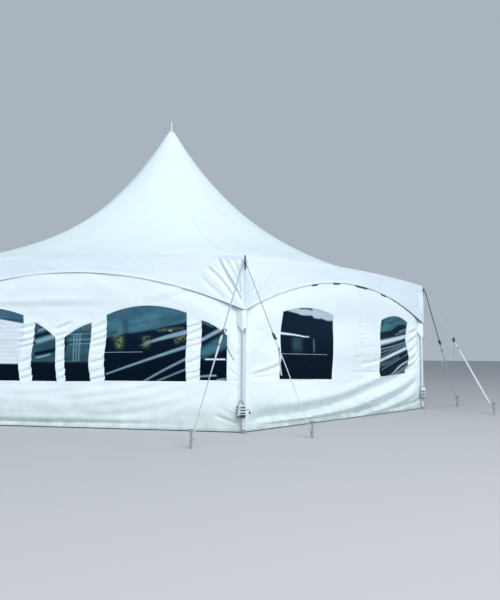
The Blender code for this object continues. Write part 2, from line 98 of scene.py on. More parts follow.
class Side(Named):
    """A side of the tent, with the azimuth in degrees that it faces."""

    FRONT = -90
    FRONT_RIGHT = -30
    BACK_RIGHT = 30
    BACK = 90
    BACK_LEFT = 150
    FRONT_LEFT = 210

    @property
    def lights(self) -> Lights:
        """The windows of this side's wall."""
        three = (Side.FRONT, Side.BACK_RIGHT, Side.BACK_LEFT)
        return Lights.THREE if self in three else Lights.TWO

    def place(self) -> Matrix:
        """From the side's own frame to the tent's."""
        return turn(self.value + 90, "Z")

    def turned(self, points: Array) -> Array:
        """Points of the side's own frame in the tent's."""
        return points @ np.array(self.place().to_3x3()).T


class Corner(Named):
    """A corner of the tent, with the azimuth in degrees at which its leg stands."""

    FRONT_RIGHT = -60
    RIGHT = 0
    BACK_RIGHT = 60
    BACK_LEFT = 120
    LEFT = 180
    FRONT_LEFT = 240

    def place(self, radius: float) -> Matrix:
        """From the corner's own frame to the tent's, with legs at this radius."""
        return turn(self.value, "Z") @ move(radius, 0, 0) @ turn(90, "Z")


class Hand(Named):
    """Which of a leg's two guys, as seen from outside."""

    LEFT = -1
    RIGHT = 1


class Hold(Enum):
    """How a sheet is held."""

    HUNG = "hung"
    STRETCHED = "stretched"
    GATHERED = "gathered"


@dataclass(frozen=True)
class Plan:
    """The tent's main sizes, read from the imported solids."""

    corner_radius: float
    eave: float
    peak: float
    tip: float
    edge_out: float
    edge_rise: float = 0.085
    hole_radius: float = 0.075
    hip_straight_share: float = 0.32
    hip_curve_power: float = 2.7
    ring_roundness_power: float = 1.6
    flat_edge_share: float = 0.0125
    valance_arch: float = 2.265
    pin_out: float = 0.078
    stake_radius: float = 0.0125

    @classmethod
    def from_frame(cls) -> "Plan":
        """Read the legs' radius, the eave, the peak and the roof's overhang from the solids.

        Returns:
            The plan.
        """
        mounts = {mount["name"]: mount for mount in frame["record"]["mounts"]}
        radius = mounts["leg_foot_right"]["pos_m"][0]
        edge = -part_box("valance_front")[0].y - radius * cos(pi / 6)
        roof_low, roof_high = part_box("roof_canopy")
        return cls(radius, roof_low.z + 0.0092, roof_high.z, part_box("mast_crown")[1].z, edge)

    @property
    def half_angle(self) -> float:
        """Half of the angle that a side fills."""
        return pi / len(Side)

    @property
    def apothem(self) -> float:
        """Distance from the middle to the legs' line of a side."""
        return self.corner_radius * cos(self.half_angle)

    def half_length(self, out: float) -> float:
        """Half of a side's length at this distance outside the legs' line."""
        return (self.apothem + out) * tan(self.half_angle)

    def bow(self, across: Array) -> Array:
        """Rise of the roof's edge, where across runs from -1 to 1 along a side."""
        return self.edge_rise * (1 - across**2)

    def hip_height(self, share: Array) -> Array:
        """Height of the roof along a hip, at this share of the way from the edge to the peak.

        Args:
            share: Share of the way.

        Returns:
            The height (m).
        """
        straight = self.hip_straight_share
        rise = straight * share + (1 - straight) * share**self.hip_curve_power
        return self.eave + (self.peak - self.eave) * rise

    def roof(self, share: Array, across: Array) -> Array:
        """Points of the roof's upper face in a side's own frame.

        Args:
            share: Shares of the way from the edge to the peak.
            across: Places along the side, from -1 to 1.

        Returns:
            An array with x, y and z on its last axis.
        """
        reach = (self.apothem + self.edge_out) * (1 - share) + self.hole_radius * share
        round_share = np.clip(share - self.flat_edge_share, 0, 1) ** self.ring_roundness_power
        angle = self.half_angle * across
        flat_x = reach * tan(self.half_angle) * across
        x = flat_x + (reach * np.sin(angle) - flat_x) * round_share
        y = -reach + (reach - reach * np.cos(angle)) * round_share
        z = self.hip_height(share) + self.bow(across) * (1 - share) ** 2
        return beside(x, y, z)


def smooth(value: Array) -> Array:
    """Ease from 0 to 1 as the value goes from 0 to 1."""
    part = np.clip(value, 0, 1)
    return part * part * (3 - 2 * part)


def curve_through(points: Points, steps: int) -> Array:
    """A smooth line through some points.

    Args:
        points: Two or more points, of any one number of coordinates.
        steps: Steps of the line between each two points.

    Returns:
        The line's points, one a row.
    """
    known = np.array(points, float)
    padded = np.vstack([2 * known[0] - known[1], known, 2 * known[-1] - known[-2]])
    line = []
    for before, start, end, after in zip(padded, padded[1:], padded[2:], padded[3:]):
        for t in np.arange(steps) / steps:
            slope_in = (end - before) / 2
            slope_out = (after - start) / 2
            line.append(
                (2 * t**3 - 3 * t**2 + 1) * start + (t**3 - 2 * t**2 + t) * slope_in
                + (3 * t**2 - 2 * t**3) * end + (t**3 - t**2) * slope_out
            )
    line.append(known[-1])
    return np.array(line)


class NodeTree:
    """Adds nodes to a material round its Principled shader."""

    def __init__(self, material: bpy.types.Material) -> None:
        """Take hold of the material's tree.

        Args:
            material: The material to dress.
        """
        self.tree = material.node_tree
        self.shader = self.tree.nodes["Principled BSDF"]
        self.coordinates = self.tree.nodes.new("ShaderNodeTexCoord").outputs["Object"]

    def feed(self, socket: Socket, value: Socket | float | Color) -> None:
        """Link a socket to an input, or set the input to a value.

        Args:
            socket: The input.
            value: A socket or a plain value.
        """
        if isinstance(value, bpy.types.NodeSocket):
            self.tree.links.new(value, socket)
        elif isinstance(value, tuple) and len(value) == 3 and socket.type == "RGBA":
            socket.default_value = (*value, 1)
        else:
            socket.default_value = value

    def node(self, kind: str, **inputs: Socket | float | Color) -> bpy.types.Node:
        """A new node of this kind, with some of its inputs fed.

        Args:
            kind: The node's type after ShaderNode.
            **inputs: Values by the inputs' names.

        Returns:
            The node.
        """
        made = self.tree.nodes.new(f"ShaderNode{kind}")
        for name, value in inputs.items():
            self.feed(made.inputs[name], value)
        return made

    def noise(self, scale: float, detail: float = 3, stretch: Color = (1, 1, 1)) -> Socket:
        """Soft noise from 0 to 1, stretched along the axes with a small value."""
        mapping = self.node("Mapping", Scale=stretch, Vector=self.coordinates)
        return self.node("TexNoise", Scale=scale, Detail=detail, Vector=mapping.outputs[0]).outputs["Fac"]

    def bands(self, period: float, direction: str) -> Socket:
        """Even waves from 0 to 1 across the X, Y or Z direction, with this period in metres.

        Args:
            period: Length of a wave (m).
            direction: X, Y or Z.

        Returns:
            The waves.
        """
        made = self.node("TexWave", Scale=tau / (20 * period), Vector=self.coordinates)
        made.bands_direction = direction
        return made.outputs["Fac"]

    def axis(self, name: str) -> Socket:
        """One of the piece's own X, Y and Z coordinates."""
        return self.node("SeparateXYZ", Vector=self.coordinates).outputs[name]

    def attribute(self, name: str) -> Socket:
        """A number kept at each point of the mesh.

        Args:
            name: The number's name.

        Returns:
            The number.
        """
        made = self.node("Attribute")
        made.attribute_name = name
        return made.outputs["Fac"]

    def ramp(self, value: Socket, low: float, high: float, start: float = 0, end: float = 1) -> Socket:
        """Map one range onto another.

        Args:
            value: The number to map.
            low: The value that gives start, as lower ones do.
            high: The value that gives end, as higher ones do.
            start: What low gives.
            end: What high gives.

        Returns:
            The mapped number.
        """
        made = self.node("MapRange", Value=value)
        for socket, number in zip(made.inputs[1:5], (low, high, start, end)):
            socket.default_value = number
        return made.outputs["Result"]

    def join(self, first: Socket, second: Socket | float, operation: str = "MULTIPLY") -> Socket:
        """Two numbers multiplied, or joined otherwise.

        Args:
            first: The first number.
            second: The second number.
            operation: Blender's name of the operation.

        Returns:
            What it gives.
        """
        made = self.node("Math")
        made.operation = operation
        self.feed(made.inputs[0], first)
        self.feed(made.inputs[1], second)
        return made.outputs[0]

    def blend(self, share: Socket, first: Socket | Color, second: Socket | Color) -> Socket:
        """Mix two colours.

        Args:
            share: How much of the second, from 0 to 1.
            first: The first colour.
            second: The second colour.

        Returns:
            The mix.
        """
        made = self.node("Mix")
        made.data_type = "RGBA"
        sockets = {socket.identifier: socket for socket in made.inputs}
        for name, value in (("Factor_Float", share), ("A_Color", first), ("B_Color", second)):
            self.feed(sockets[name], value)
        return next(socket for socket in made.outputs if socket.identifier == "Result_Color")

    def relief(self, height: Socket, depth: float, **under: Socket) -> Socket:
        """Tilt the surface as if it rose by this depth, over the relief under it where one is given."""
        return self.node("Bump", Distance=depth, Height=height, **under).outputs["Normal"]

    def drive(self, name: str, value: Socket | float | Color) -> None:
        """Feed one of the shader's inputs."""
        self.feed(self.shader.inputs[name], value)


@dataclass(frozen=True)
class Finish:
    """A surface whose nodes vary its colour, roughness and relief."""

    name: str
    color: Color
    roughness: float

    def material(self) -> bpy.types.Material:
        """The material, made on its first use.

        Returns:
            The material.
        """
        made = bpy.data.materials.get(self.name)
        if made is None:
            made = bpy.data.materials.new(self.name)
            made.use_nodes = True
            made.diffuse_color = (*self.color, 1)
            nodes = NodeTree(made)
            nodes.drive("Base Color", self.color)
            nodes.drive("Roughness", self.roughness)
            self.dress(nodes)
        return made

    def tinted(self, share: float) -> Color:
        """The colour made darker to this share."""
        red, green, blue = self.color
        return (red * share, green * share, blue * share)

    def dress(self, nodes: NodeTree) -> None:
        """Add what varies over the surface."""
        raise NotImplementedError


@dataclass(frozen=True)
class CoatedFabric(Finish):
    """Lacquered polyester with a fine scrim, soft creases, and dirt with painted shade near the ground."""

    scrim: float = 0.004
    crease: float = 0.0015
    dirt_and_shade_top: float = 0
    dirt_and_shade: Color = (0.43, 0.53, 0.49)

    def dress(self, nodes: NodeTree) -> None:
        """Cloud the colour, darken the foot with dirt and painted shade, and raise the scrim and small
        creases.

        Args:
            nodes: The material's nodes.
        """
        nodes.drive("Specular IOR Level", 0.42)
        cloud = nodes.ramp(nodes.noise(0.7, 4), 0.35, 0.7)
        color = nodes.blend(cloud, self.color, self.tinted(0.955))
        handled = nodes.ramp(nodes.noise(5, 5, (1, 1, 0.5)), 0.58, 0.8, 0, 0.35)
        color = nodes.blend(handled, color, self.tinted(0.9))
        # Towards the ground the colour turns a darker green-grey: patchy dirt, with painted shade of a dark
        # ground below.
        if self.dirt_and_shade_top > 0:
            low = nodes.ramp(nodes.axis("Z"), self.dirt_and_shade_top, 0)
            patchy = nodes.join(low, nodes.ramp(nodes.noise(6, 5), 0.3, 0.75, 0.35, 1))
            color = nodes.blend(nodes.join(patchy, low), color, self.dirt_and_shade)
        nodes.drive("Base Color", color)
        dull = nodes.ramp(nodes.noise(3, 4), 0.3, 0.7, self.roughness - 0.06, self.roughness + 0.1)
        nodes.drive("Roughness", dull)
        weave = nodes.join(nodes.bands(self.scrim, "X"), nodes.bands(self.scrim, "Z"))
        creases = nodes.noise(7, 4, (1, 1, 1.6))
        fine = nodes.relief(weave, self.scrim * 0.02)
        nodes.drive("Normal", nodes.relief(creases, self.crease, Normal=fine))


@dataclass(frozen=True)
class ClearVinyl(Finish):
    """Flexible clear sheet over a dim room, its deep tone painted shade of that room, with painted
    reflections of sky and leaves and milky creases that carry painted glare.
    """

    # Colour of the painted reflection of the sky.
    sky: Color = (0.065, 0.185, 0.255)
    # Colour of the painted reflection of leaves.
    leaf: Color = (0.17, 0.24, 0.13)
    # Colour of milky creases, mixed with the painted reflection of the sky.
    crease: Color = (0.22, 0.36, 0.46)
    # White of the most hazed creases and of the painted glare on them.
    glare: Color = (0.86, 0.92, 0.99)
    opacity: float = 0.985

    def dress(self, nodes: NodeTree) -> None:
        """Mix the room's painted shade with painted reflections of sky and leaves, milky creases and painted
        glare, and give the sheet its gloss.

        Args:
            nodes: The material's nodes.
        """
        nodes.drive("IOR", 1.5)
        nodes.drive("Specular IOR Level", 0.04)
        uneven = nodes.ramp(nodes.noise(5, 4, (0.5, 0.5, 1.6)), 0.3, 0.7, 0.55, 1)
        speckled = nodes.ramp(nodes.noise(42, 3), 0.36, 0.6, 0.965, 1)
        broken = nodes.ramp(nodes.noise(30, 6), 0.36, 0.68)
        # Painted shade of the dim room behind the sheet, darker towards the bottom of each window.
        depth = nodes.ramp(nodes.axis("Z"), 0.8, 1.5)
        tone = nodes.blend(depth, self.tinted(0.55), self.color)
        # Painted reflection of the sky.
        tone = nodes.blend(nodes.join(nodes.attribute("sky"), uneven), tone, self.sky)
        # Painted reflection of leaves.
        tone = nodes.blend(nodes.join(nodes.attribute("leaf"), broken), tone, self.leaf)
        # Milky creases with painted reflection and glare, whitest where the mark is strongest.
        milk_and_glare = nodes.join(nodes.attribute("haze"), speckled)
        tone = nodes.blend(nodes.ramp(milk_and_glare, 0.05, 0.66), tone, self.crease)
        nodes.drive("Base Color", nodes.blend(nodes.ramp(milk_and_glare, 0.66, 1), tone, self.glare))
        nodes.drive("Alpha", nodes.ramp(milk_and_glare, 0, 1, self.opacity, 0.99))
        nodes.drive("Roughness", nodes.ramp(milk_and_glare, 0, 1, self.roughness, 0.34))
        nodes.drive("Normal", nodes.relief(nodes.noise(6, 3, (0.6, 0.6, 1.7)), 0.004))


@dataclass(frozen=True)
class Metal(Finish):
    """Bare, anodised or zinc-coated metal with drawn streaks, scratches and dull patches."""

    patch: float = 14
    streak: Color = (1, 1, 0.03)
    stain: Color = (0.3, 0.29, 0.3)
    stained: float = 0.35
    metallic: float = 0.85

    def dress(self, nodes: NodeTree) -> None:
        """Streak the colour and roughness and stain it in patches.

        Args:
            nodes: The material's nodes.
        """
        nodes.drive("Metallic", self.metallic)
        streaks = nodes.ramp(nodes.noise(160, 3, self.streak), 0.3, 0.7)
        color = nodes.blend(streaks, self.tinted(0.9), self.color)
        worn = nodes.ramp(nodes.noise(self.patch, 6), 0.52, 0.72, 0, self.stained)
        nodes.drive("Base Color", nodes.blend(worn, color, self.stain))
        rough = nodes.ramp(streaks, 0, 1, self.roughness, self.roughness + 0.1)
        nodes.drive("Roughness", nodes.join(rough, nodes.join(worn, 0.3), "ADD"))
        nodes.drive("Normal", nodes.relief(streaks, 0.00012))


@dataclass(frozen=True)
class Worn(Finish):
    """Paint, forged steel, rubber or rope, with patches of another colour and a fine grain."""

    patch: Color = (0.11, 0.115, 0.12)
    patches: float = 22
    patch_start: float = 0.4
    patch_end: float = 0.8
    patch_share: float = 0.25
    worn_roughness: float = 0.85
    dust: float = 0.4
    metallic: float = 0
    grain: float = 320
    grain_depth: float = 0.0004

    def dress(self, nodes: NodeTree) -> None:
        """Dust and patch the colour, dull the patches and raise the grain.

        Args:
            nodes: The material's nodes.
        """
        nodes.drive("Metallic", self.metallic)
        worn = nodes.ramp(nodes.noise(self.patches, 6), self.patch_start, self.patch_end)
        dusty = nodes.ramp(nodes.noise(7, 4), 0.4, 0.75, 0, self.dust)
        color = nodes.blend(dusty, self.color, self.tinted(0.78))
        nodes.drive("Base Color", nodes.blend(nodes.join(worn, self.patch_share), color, self.patch))
        nodes.drive("Roughness", nodes.ramp(worn, 0, 1, self.roughness, self.worn_roughness))
        nodes.drive("Normal", nodes.relief(nodes.noise(self.grain, 3), self.grain_depth))


@dataclass(frozen=True)
class Webbing(Finish):
    """Flat woven strap with ribs along it and frayed, soiled patches."""

    rib: float = 0.0032

    def dress(self, nodes: NodeTree) -> None:
        """Weave ribs into the relief and vary the yarn's colour.

        Args:
            nodes: The material's nodes.
        """
        nodes.drive("Sheen Weight", 0.25)
        picks = nodes.join(nodes.bands(self.rib, "Z"), nodes.bands(self.rib * 1.3, "X"))
        soiled = nodes.ramp(nodes.noise(16, 5), 0.5, 0.8, 0, 0.45)
        color = nodes.blend(nodes.ramp(picks, 0, 1, 0, 0.3), self.color, self.tinted(0.7))
        nodes.drive("Base Color", nodes.blend(soiled, color, self.tinted(0.55)))
        nodes.drive("Normal", nodes.relief(picks, 0.0008))


ROOF_FABRIC = CoatedFabric("roof_fabric", (0.74, 0.86, 0.9), 0.42, crease=0.0008)
VALANCE_FABRIC = CoatedFabric("valance_fabric", (0.69, 0.8, 0.885), 0.4, crease=0.0012)
# The wall cloth and its welded bands darken towards the ground with dirt and painted shade.
WALL_FABRIC = CoatedFabric("wall_fabric", (0.787, 0.895, 0.94), 0.38, crease=0.0016, dirt_and_shade_top=0.8)
WELD_FABRIC = CoatedFabric("welded_seam", (0.75, 0.85, 0.895), 0.34, crease=0.0004, dirt_and_shade_top=0.8)
# Grey for stitching thread, and for the painted shade lines just under the walls' welded bands.
SHADE_AND_STITCHING = CoatedFabric("seam_dirt", (0.42, 0.48, 0.52), 0.6, crease=0.0003)
# Near-black navy: painted shade of the dim room seen through the clear sheet.
WINDOW_VINYL = ClearVinyl("window_vinyl", (0.002, 0.01, 0.026), 0.1)
TUBE = Metal("anodised_tube", (0.7, 0.73, 0.81), 0.42, stained=0.2, metallic=0.35)
ZINC = Metal("zinc_plate", (0.42, 0.43, 0.45), 0.38, patch=40, streak=(0.3, 0.3, 0.3), stained=0.5)
STEEL = Metal("dark_steel", (0.075, 0.08, 0.085), 0.45, patch=30, stained=0.3)
STAKE_IRON = Worn("stake_steel", (0.6, 0.63, 0.66), 0.45, (0.26, 0.2, 0.155), 34, 0.52, 0.74, 0.9,
                   metallic=0.4, grain=90, grain_depth=0.0012)
PRIMER = (0.22, 0.25, 0.26)
JACK_PAINT = Worn("jack_paint", (0.5, 0.62, 0.65), 0.42, PRIMER, 48, 0.66, 0.71, 1, 0.72)
CROWN_PAINT = Worn("crown_paint", (0.72, 0.8, 0.85), 0.4, PRIMER, 48, 0.72, 0.77, 1, 0.72)
PALE_WEB = Webbing("pale_webbing", (0.57, 0.62, 0.66), 0.7)
GREY_WEB = Webbing("grey_webbing", (0.38, 0.42, 0.47), 0.72)
DARK_WEB = Webbing("dark_webbing", (0.055, 0.065, 0.07), 0.75)
RUBBER = Worn("black_rubber", (0.018, 0.019, 0.021), 0.55)
ROPE = Worn("black_rope", (0.022, 0.023, 0.026), 0.7, grain=520)
FLOOR_FINISH = Worn("studio_floor", (0.46, 0.47, 0.48), 0.75, (0.45, 0.46, 0.47), 0.25, dust=0, grain_depth=0)


def circle(count: int) -> list[float]:
    """Angles that divide a circle evenly."""
    return [tau * i / count for i in range(count)]


def beside(*columns: Array) -> Array:
    """Numbers side by side, as the columns of a table."""
    return np.stack(columns, axis=-1)


def quads(shape: tuple[int, ...], closed: bool = False) -> Array:
    """Faces between the neighbours in a table of points, whose rows may be closed loops.

    Args:
        shape: Rows and columns of the table.
        closed: Whether the rows are loops.

    Returns:
        Point numbers of each face.
    """
    index = np.arange(prod(shape)).reshape(shape)
    if closed:
        index = np.hstack([index, index[:, :1]])
    return beside(index[:-1, :-1], index[:-1, 1:], index[1:, 1:], index[1:, :-1]).reshape(-1, 4)


class Piece:
    """Gathers surfaces with their finishes into one mesh."""

    def __init__(self) -> None:
        """Start with an empty mesh."""
        self.bm = bmesh.new()
        self.finishes: list[Finish] = []

    def _dress(self, faces: Iterable[bmesh.types.BMFace], finish: Finish) -> None:
        """Give these faces a finish.

        Args:
            faces: The faces.
            finish: Their finish.
        """
        if finish not in self.finishes:
            self.finishes.append(finish)
        for face in faces:
            face.material_index = self.finishes.index(finish)

    def loft(self, rings: Sequence[Points], finish: Finish, closed: bool = False) -> None:
        """Skin a row of rings into a solid.

        Args:
            rings: Loops of points, all of one length.
            finish: Finish of the skin.
            closed: Whether the last ring joins the first. Otherwise flat caps end the row.
        """
        rows = [[self.bm.verts.new(point) for point in ring] for ring in rings]
        pairs = list(zip(rows, rows[1:])) + ([(rows[-1], rows[0])] if closed else [])
        faces = []
        for first, second in pairs:
            for i in range(len(first)):
                faces.append(self.bm.faces.new((first[i - 1], first[i], second[i], second[i - 1])))
        if not closed:
            faces.append(self.bm.faces.new(rows[0][::-1]))
            faces.append(self.bm.faces.new(rows[-1]))
        bmesh.ops.recalc_face_normals(self.bm, faces=faces)
        self._dress(faces, finish)

    def tube(self, points: Points, radius: float | Sequence[float], finish: Finish,
             sides: int = 10, closed: bool = False) -> None:
        """A round bar along a line.

        Args:
            points: The line that it follows.
            radius: One radius, or one for each point.
            finish: Finish of its skin.
            sides: Faces round it.
            closed: Whether the line is a loop.
        """
        line = [Vector(point) for point in points]
        radii = [radius] * len(line) if isinstance(radius, float) else list(radius)
        count = len(line)
        tangents = []
        for i in range(count):
            ahead = line[(i + 1) % count] if closed else line[min(i + 1, count - 1)]
            behind = line[i - 1] if closed else line[max(i - 1, 0)]
            tangents.append((ahead - behind).normalized())
        side = tangents[0].orthogonal().normalized()
        rings = []
        for point, tangent, size in zip(line, tangents, radii):
            side = (side - tangent * side.dot(tangent)).normalized()
            other = tangent.cross(side)
            rings.append([point + (side * cos(a) + other * sin(a)) * size for a in circle(sides)])
        self.loft(rings, finish, closed)

    def strap(self, points: Points, across: Sequence[float], width: float,
              thickness: float, finish: Finish, twist: float = 0) -> None:
        """A flat band along a line.

        Args:
            points: The line along its middle.
            across: Direction of its width.
            width: Its whole width.
            thickness: Its whole thickness.
            finish: Finish of its skin.
            twist: How many degrees it is turned in its lower half, before it turns back.
        """
        line = [Vector(point) for point in points]
        wide = Vector(across).normalized()
        rings = []
        for i, point in enumerate(line):
            tangent = (line[min(i + 1, len(line) - 1)] - line[max(i - 1, 0)]).normalized()
            flat = (wide - tangent * wide.dot(tangent)).normalized() * width / 2
            share = i / (len(line) - 1)
            turned = radians(twist) * smooth(share / 0.5) * smooth((1 - share) / 0.12)
            flat.rotate(Quaternion(tangent, turned))
            up = tangent.cross(flat).normalized() * thickness / 2
            edge = flat * (1 - thickness / width)
            rings.append([point - flat, point - edge + up, point + edge + up,
                          point + flat, point + edge - up, point - edge - up])
        self.loft(rings, finish)

    def turned(self, profile: Sequence[Spot], finish: Finish, at: Matrix = HOME,
               sides: int = 24) -> None:
        """A turned solid.

        Args:
            profile: (radius, height) points from one end to the other, with no radius of 0.
            finish: Finish of its skin.
            at: Place of its axis, which is Z.
            sides: Faces round it.
        """
        self.loft([[at @ Vector((radius * cos(a), radius * sin(a), height)) for a in circle(sides)]
                   for radius, height in profile], finish)

    def rod(self, radius: float, low: float, high: float, finish: Finish, at: Matrix = HOME,
            sides: int = 20, edge: float = 0.001) -> None:
        """A round bar along Z from a low to a high end, with softened edges."""
        ends = ((radius - edge, low), (radius, low + edge), (radius, high - edge), (radius - edge, high))
        self.turned(ends, finish, at, sides)

    def block(self, size: Sequence[float], finish: Finish, at: Matrix, bevel: float) -> None:
        """A box with rounded edges.

        Args:
            size: Its whole lengths.
            finish: Finish of its skin.
            at: Place of its middle.
            bevel: Width of the rounding.
        """
        made = bmesh.ops.create_cube(self.bm, size=1, matrix=at @ Matrix.Diagonal((*size, 1)))
        self._dress({face: 0 for vert in made["verts"] for face in vert.link_faces}, finish)
        edges = {edge: 0 for vert in made["verts"] for edge in vert.link_edges}
        bmesh.ops.bevel(self.bm, geom=list(edges), offset=bevel, segments=2, affect="EDGES", profile=0.5)

    def plate(self, outline: Sequence[Spot], thickness: float, finish: Finish, at: Matrix,
              chamfer: float) -> None:
        """A plate cut to an outline.

        Args:
            outline: Its (x, y) points in order.
            thickness: Its whole thickness, along Z either way.
            finish: Finish of its skin.
            at: Place of its middle.
            chamfer: Width of its softened edge.
        """
        middle = Vector((sum(x for x, _ in outline), sum(y for _, y in outline))) / len(outline)
        half = thickness / 2
        rings = []
        for height, inset in ((-half, chamfer), (chamfer - half, 0), (half - chamfer, 0), (half, chamfer)):
            moved = [spot + (middle - spot).normalized() * inset for spot in map(Vector, outline)]
            rings.append([at @ Vector((*spot, height)) for spot in moved])
        self.loft(rings, finish)

    def mesh(self, name: str, angle: float = 40) -> Mesh:
        """The finished mesh.

        Args:
            name: Its name.
            angle: Its faces look smooth where they meet at less than this, in degrees.

        Returns:
            The mesh.
        """
        made = bpy.data.meshes.new(name)
        self.bm.to_mesh(made)
        self.bm.free()
        for finish in self.finishes:
            made.materials.append(finish.material())
        made.shade_smooth()
        made.set_sharp_from_angle(angle=radians(angle))
        return made


def link(name: str, data: bpy.types.ID) -> bpy.types.Object:
    """A new object in the scene.

    Args:
        name: The object's name.
        data: Its mesh, lamp or camera.

    Returns:
        The object.
    """
    made = bpy.data.objects.new(name, data)
    bpy.context.scene.collection.objects.link(made)
    return made


def put(name: str, mesh: Mesh, place: Matrix, replaced: Sequence[str] = ()) -> bpy.types.Object:
    """Place a mesh as a piece of the tent.

    Args:
        name: The piece's name.
        mesh: Its mesh, in its own frame.
        place: From its own frame to the tent's.
        replaced: The solids that it stands for.

    Returns:
        The new object.
    """
    made = link(name, mesh)
    made.matrix_world = place
    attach(made, "root")
    if replaced:
        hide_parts(*replaced)
    LOG.info("%s: %d faces", name, len(mesh.polygons))
    return made


def sheet_mesh(name: str, points: Array, faces: Array, finish: Finish, thickness: float = 0,
               marks: dict[str, Array] | None = None) -> Mesh:
    """A mesh of cloth, closed to a thin shell where it has a thickness.

    Args:
        name: The mesh's name.
        points: Its points.
        faces: Its faces as rows of indices, three or four in each.
        finish: Its finish.
        thickness: How far the back lies behind the face, or 0 for a single layer.
        marks: Numbers to keep at the points, by name.

    Returns:
        The mesh.
    """
    made = bpy.data.meshes.new(name)
    made.from_pydata(points.tolist(), [], faces.tolist())
    if thickness > 0:
        normals = np.zeros(len(points) * 3, np.float32)
        made.vertices.foreach_get("normal", normals)
        back = points - normals.reshape(-1, 3) * thickness
        sides = beside(faces, np.roll(faces, -1, axis=1)).reshape(-1, 2)
        keys = np.sort(sides, axis=1)
        order, inverse, count = np.unique(keys, axis=0, return_inverse=True, return_counts=True)
        rim = sides[count[inverse.reshape(-1)] == 1]
        shift = len(points)
        walls = beside(rim[:, 1], rim[:, 0], rim[:, 0] + shift, rim[:, 1] + shift)
        made = bpy.data.meshes.new(name)
        made.from_pydata(np.vstack([points, back]).tolist(), [],
                         faces.tolist() + (faces[:, ::-1] + shift).tolist() + walls.tolist())
    for mark, values in (marks or {}).items():
        made.attributes.new(mark, "FLOAT", "POINT").data.foreach_set("value", values.astype(np.float32))
    made.materials.append(finish.material())
    made.shade_smooth()
    made.set_sharp_from_angle(angle=radians(50))
    return made


@dataclass(frozen=True)
class Fold:
    """A ridge along a curve on a sheet, or a groove where its rise is negative."""

    path: tuple[Spot, ...]
    rise: float
    width: float
    end_width: float | None = None
    fade: Spot = (0.25, 0.25)
    below: float = 1
    sharp: float = 2

    def heights(self, spots: Array) -> Array:
        """How far it lifts the sheet.

        Args:
            spots: Spots on the side, one a row.

        Returns:
            The rise at each spot.
        """
        line = curve_through(self.path, 6)
        nearest = np.full(len(spots), np.inf)
        along = np.zeros(len(spots))
        above = np.ones(len(spots), bool)
        travelled = 0
        for start, step in zip(line, np.diff(line, axis=0)):
            length = float(np.hypot(*step))
            share = np.clip((spots - start) @ step / length**2, 0, 1)
            offset = spots - start - share[:, None] * step
            gap = np.hypot(*offset.T)
            closer = gap < nearest
            nearest[closer] = gap[closer]
            along[closer] = travelled + share[closer] * length
            above[closer] = step[0] * offset[closer, 1] > step[1] * offset[closer, 0]
            travelled += length
        share = along / travelled
        last = self.width if self.end_width is None else self.end_width
        width = (self.width + (last - self.width) * share) * np.where(above, 1, self.below)
        ends = smooth(share / self.fade[0]) * smooth((1 - share) / self.fade[1])
        return self.rise * np.exp(-((nearest / width) ** self.sharp)) * ends


@dataclass(frozen=True)
class Veil:
    """A tone that fills a window above a line."""

    path: tuple[Spot, ...]
    rise: float
    soft: float = 0.02

    def heights(self, spots: Array) -> Array:
        """The tone's strength.

        Args:
            spots: Spots on the side, one a row.

        Returns:
            Its share at each spot.
        """
        places, heights = np.array(self.path).T
        within = (spots[:, 0] > places[0]) & (spots[:, 0] < places[-1])
        line = np.interp(spots[:, 0], places, heights)
        return self.rise * smooth((spots[:, 1] - line) / self.soft + 0.5) * within


@dataclass(frozen=True)
class Sway:
    """Drift of the cloth within its own plane, as rows of shifts at the windows' sill, middle and head."""

    places: tuple[float, ...]
    aside: tuple[tuple[float, ...], ...]
    up: tuple[tuple[float, ...], ...]
    heights: tuple[float, ...] = (0, 0.7, 0.98, 1.45, 2)

    def moved(self, spots: Array) -> Array:
        """Shift some spots with the cloth.

        Args:
            spots: Spots on the side, one a row.

        Returns:
            Where they have come to.
        """
        found = spots.copy()
        for axis, table in enumerate((self.aside, self.up)):
            rows = [np.zeros(len(spots)), *(np.interp(spots[:, 0], self.places, row) for row in table)]
            rows.append(np.zeros(len(spots)))
            for low, high, below, above in zip(self.heights, self.heights[1:], rows, rows[1:]):
                share = (spots[:, 1] - low) / (high - low)
                within = (share >= 0) & (share < 1)
                found[within, axis] += (below + (above - below) * smooth(share))[within]
        return found


def toned(shapes: Iterable[Fold | Veil], spots: Array) -> Array:
    """The strongest tone at each spot, less the dark ones, from 0 to 1."""
    tones = np.array([shape.heights(spots) for shape in shapes])
    return np.clip(np.maximum(tones.max(axis=0), 0) + np.minimum(tones, 0).sum(axis=0), 0, 1)


def ridges(rows: Iterable[Sequence[float]], fade: Spot = (0.25, 0.25), below: float = 1,
           sharp: float = 2) -> list[Fold]:
    """Folds from rows of numbers.

    Args:
        rows: For each fold its rise, its width, its far end's width where that differs, and then the
            x and z of each spot.
        fade: Shares of its length over which it starts and ends.
        below: How much wider it is on its lower side.
        sharp: Power of its profile.

    Returns:
        The folds.
    """
    made = []
    for row in rows:
        first = 2 + len(row) % 2
        path = tuple(zip(row[first::2], row[first + 1::2]))
        made.append(Fold(path, row[0], row[1], row[first - 1], fade, below, sharp))
    return made


def streaks(rows: Iterable[Sequence[float]], fade: Spot = (0.03, 0.03)) -> list[Fold]:
    """Crisp streaks in clear vinyl, from rows such as those of ridges."""
    return ridges(rows, fade, sharp=4)


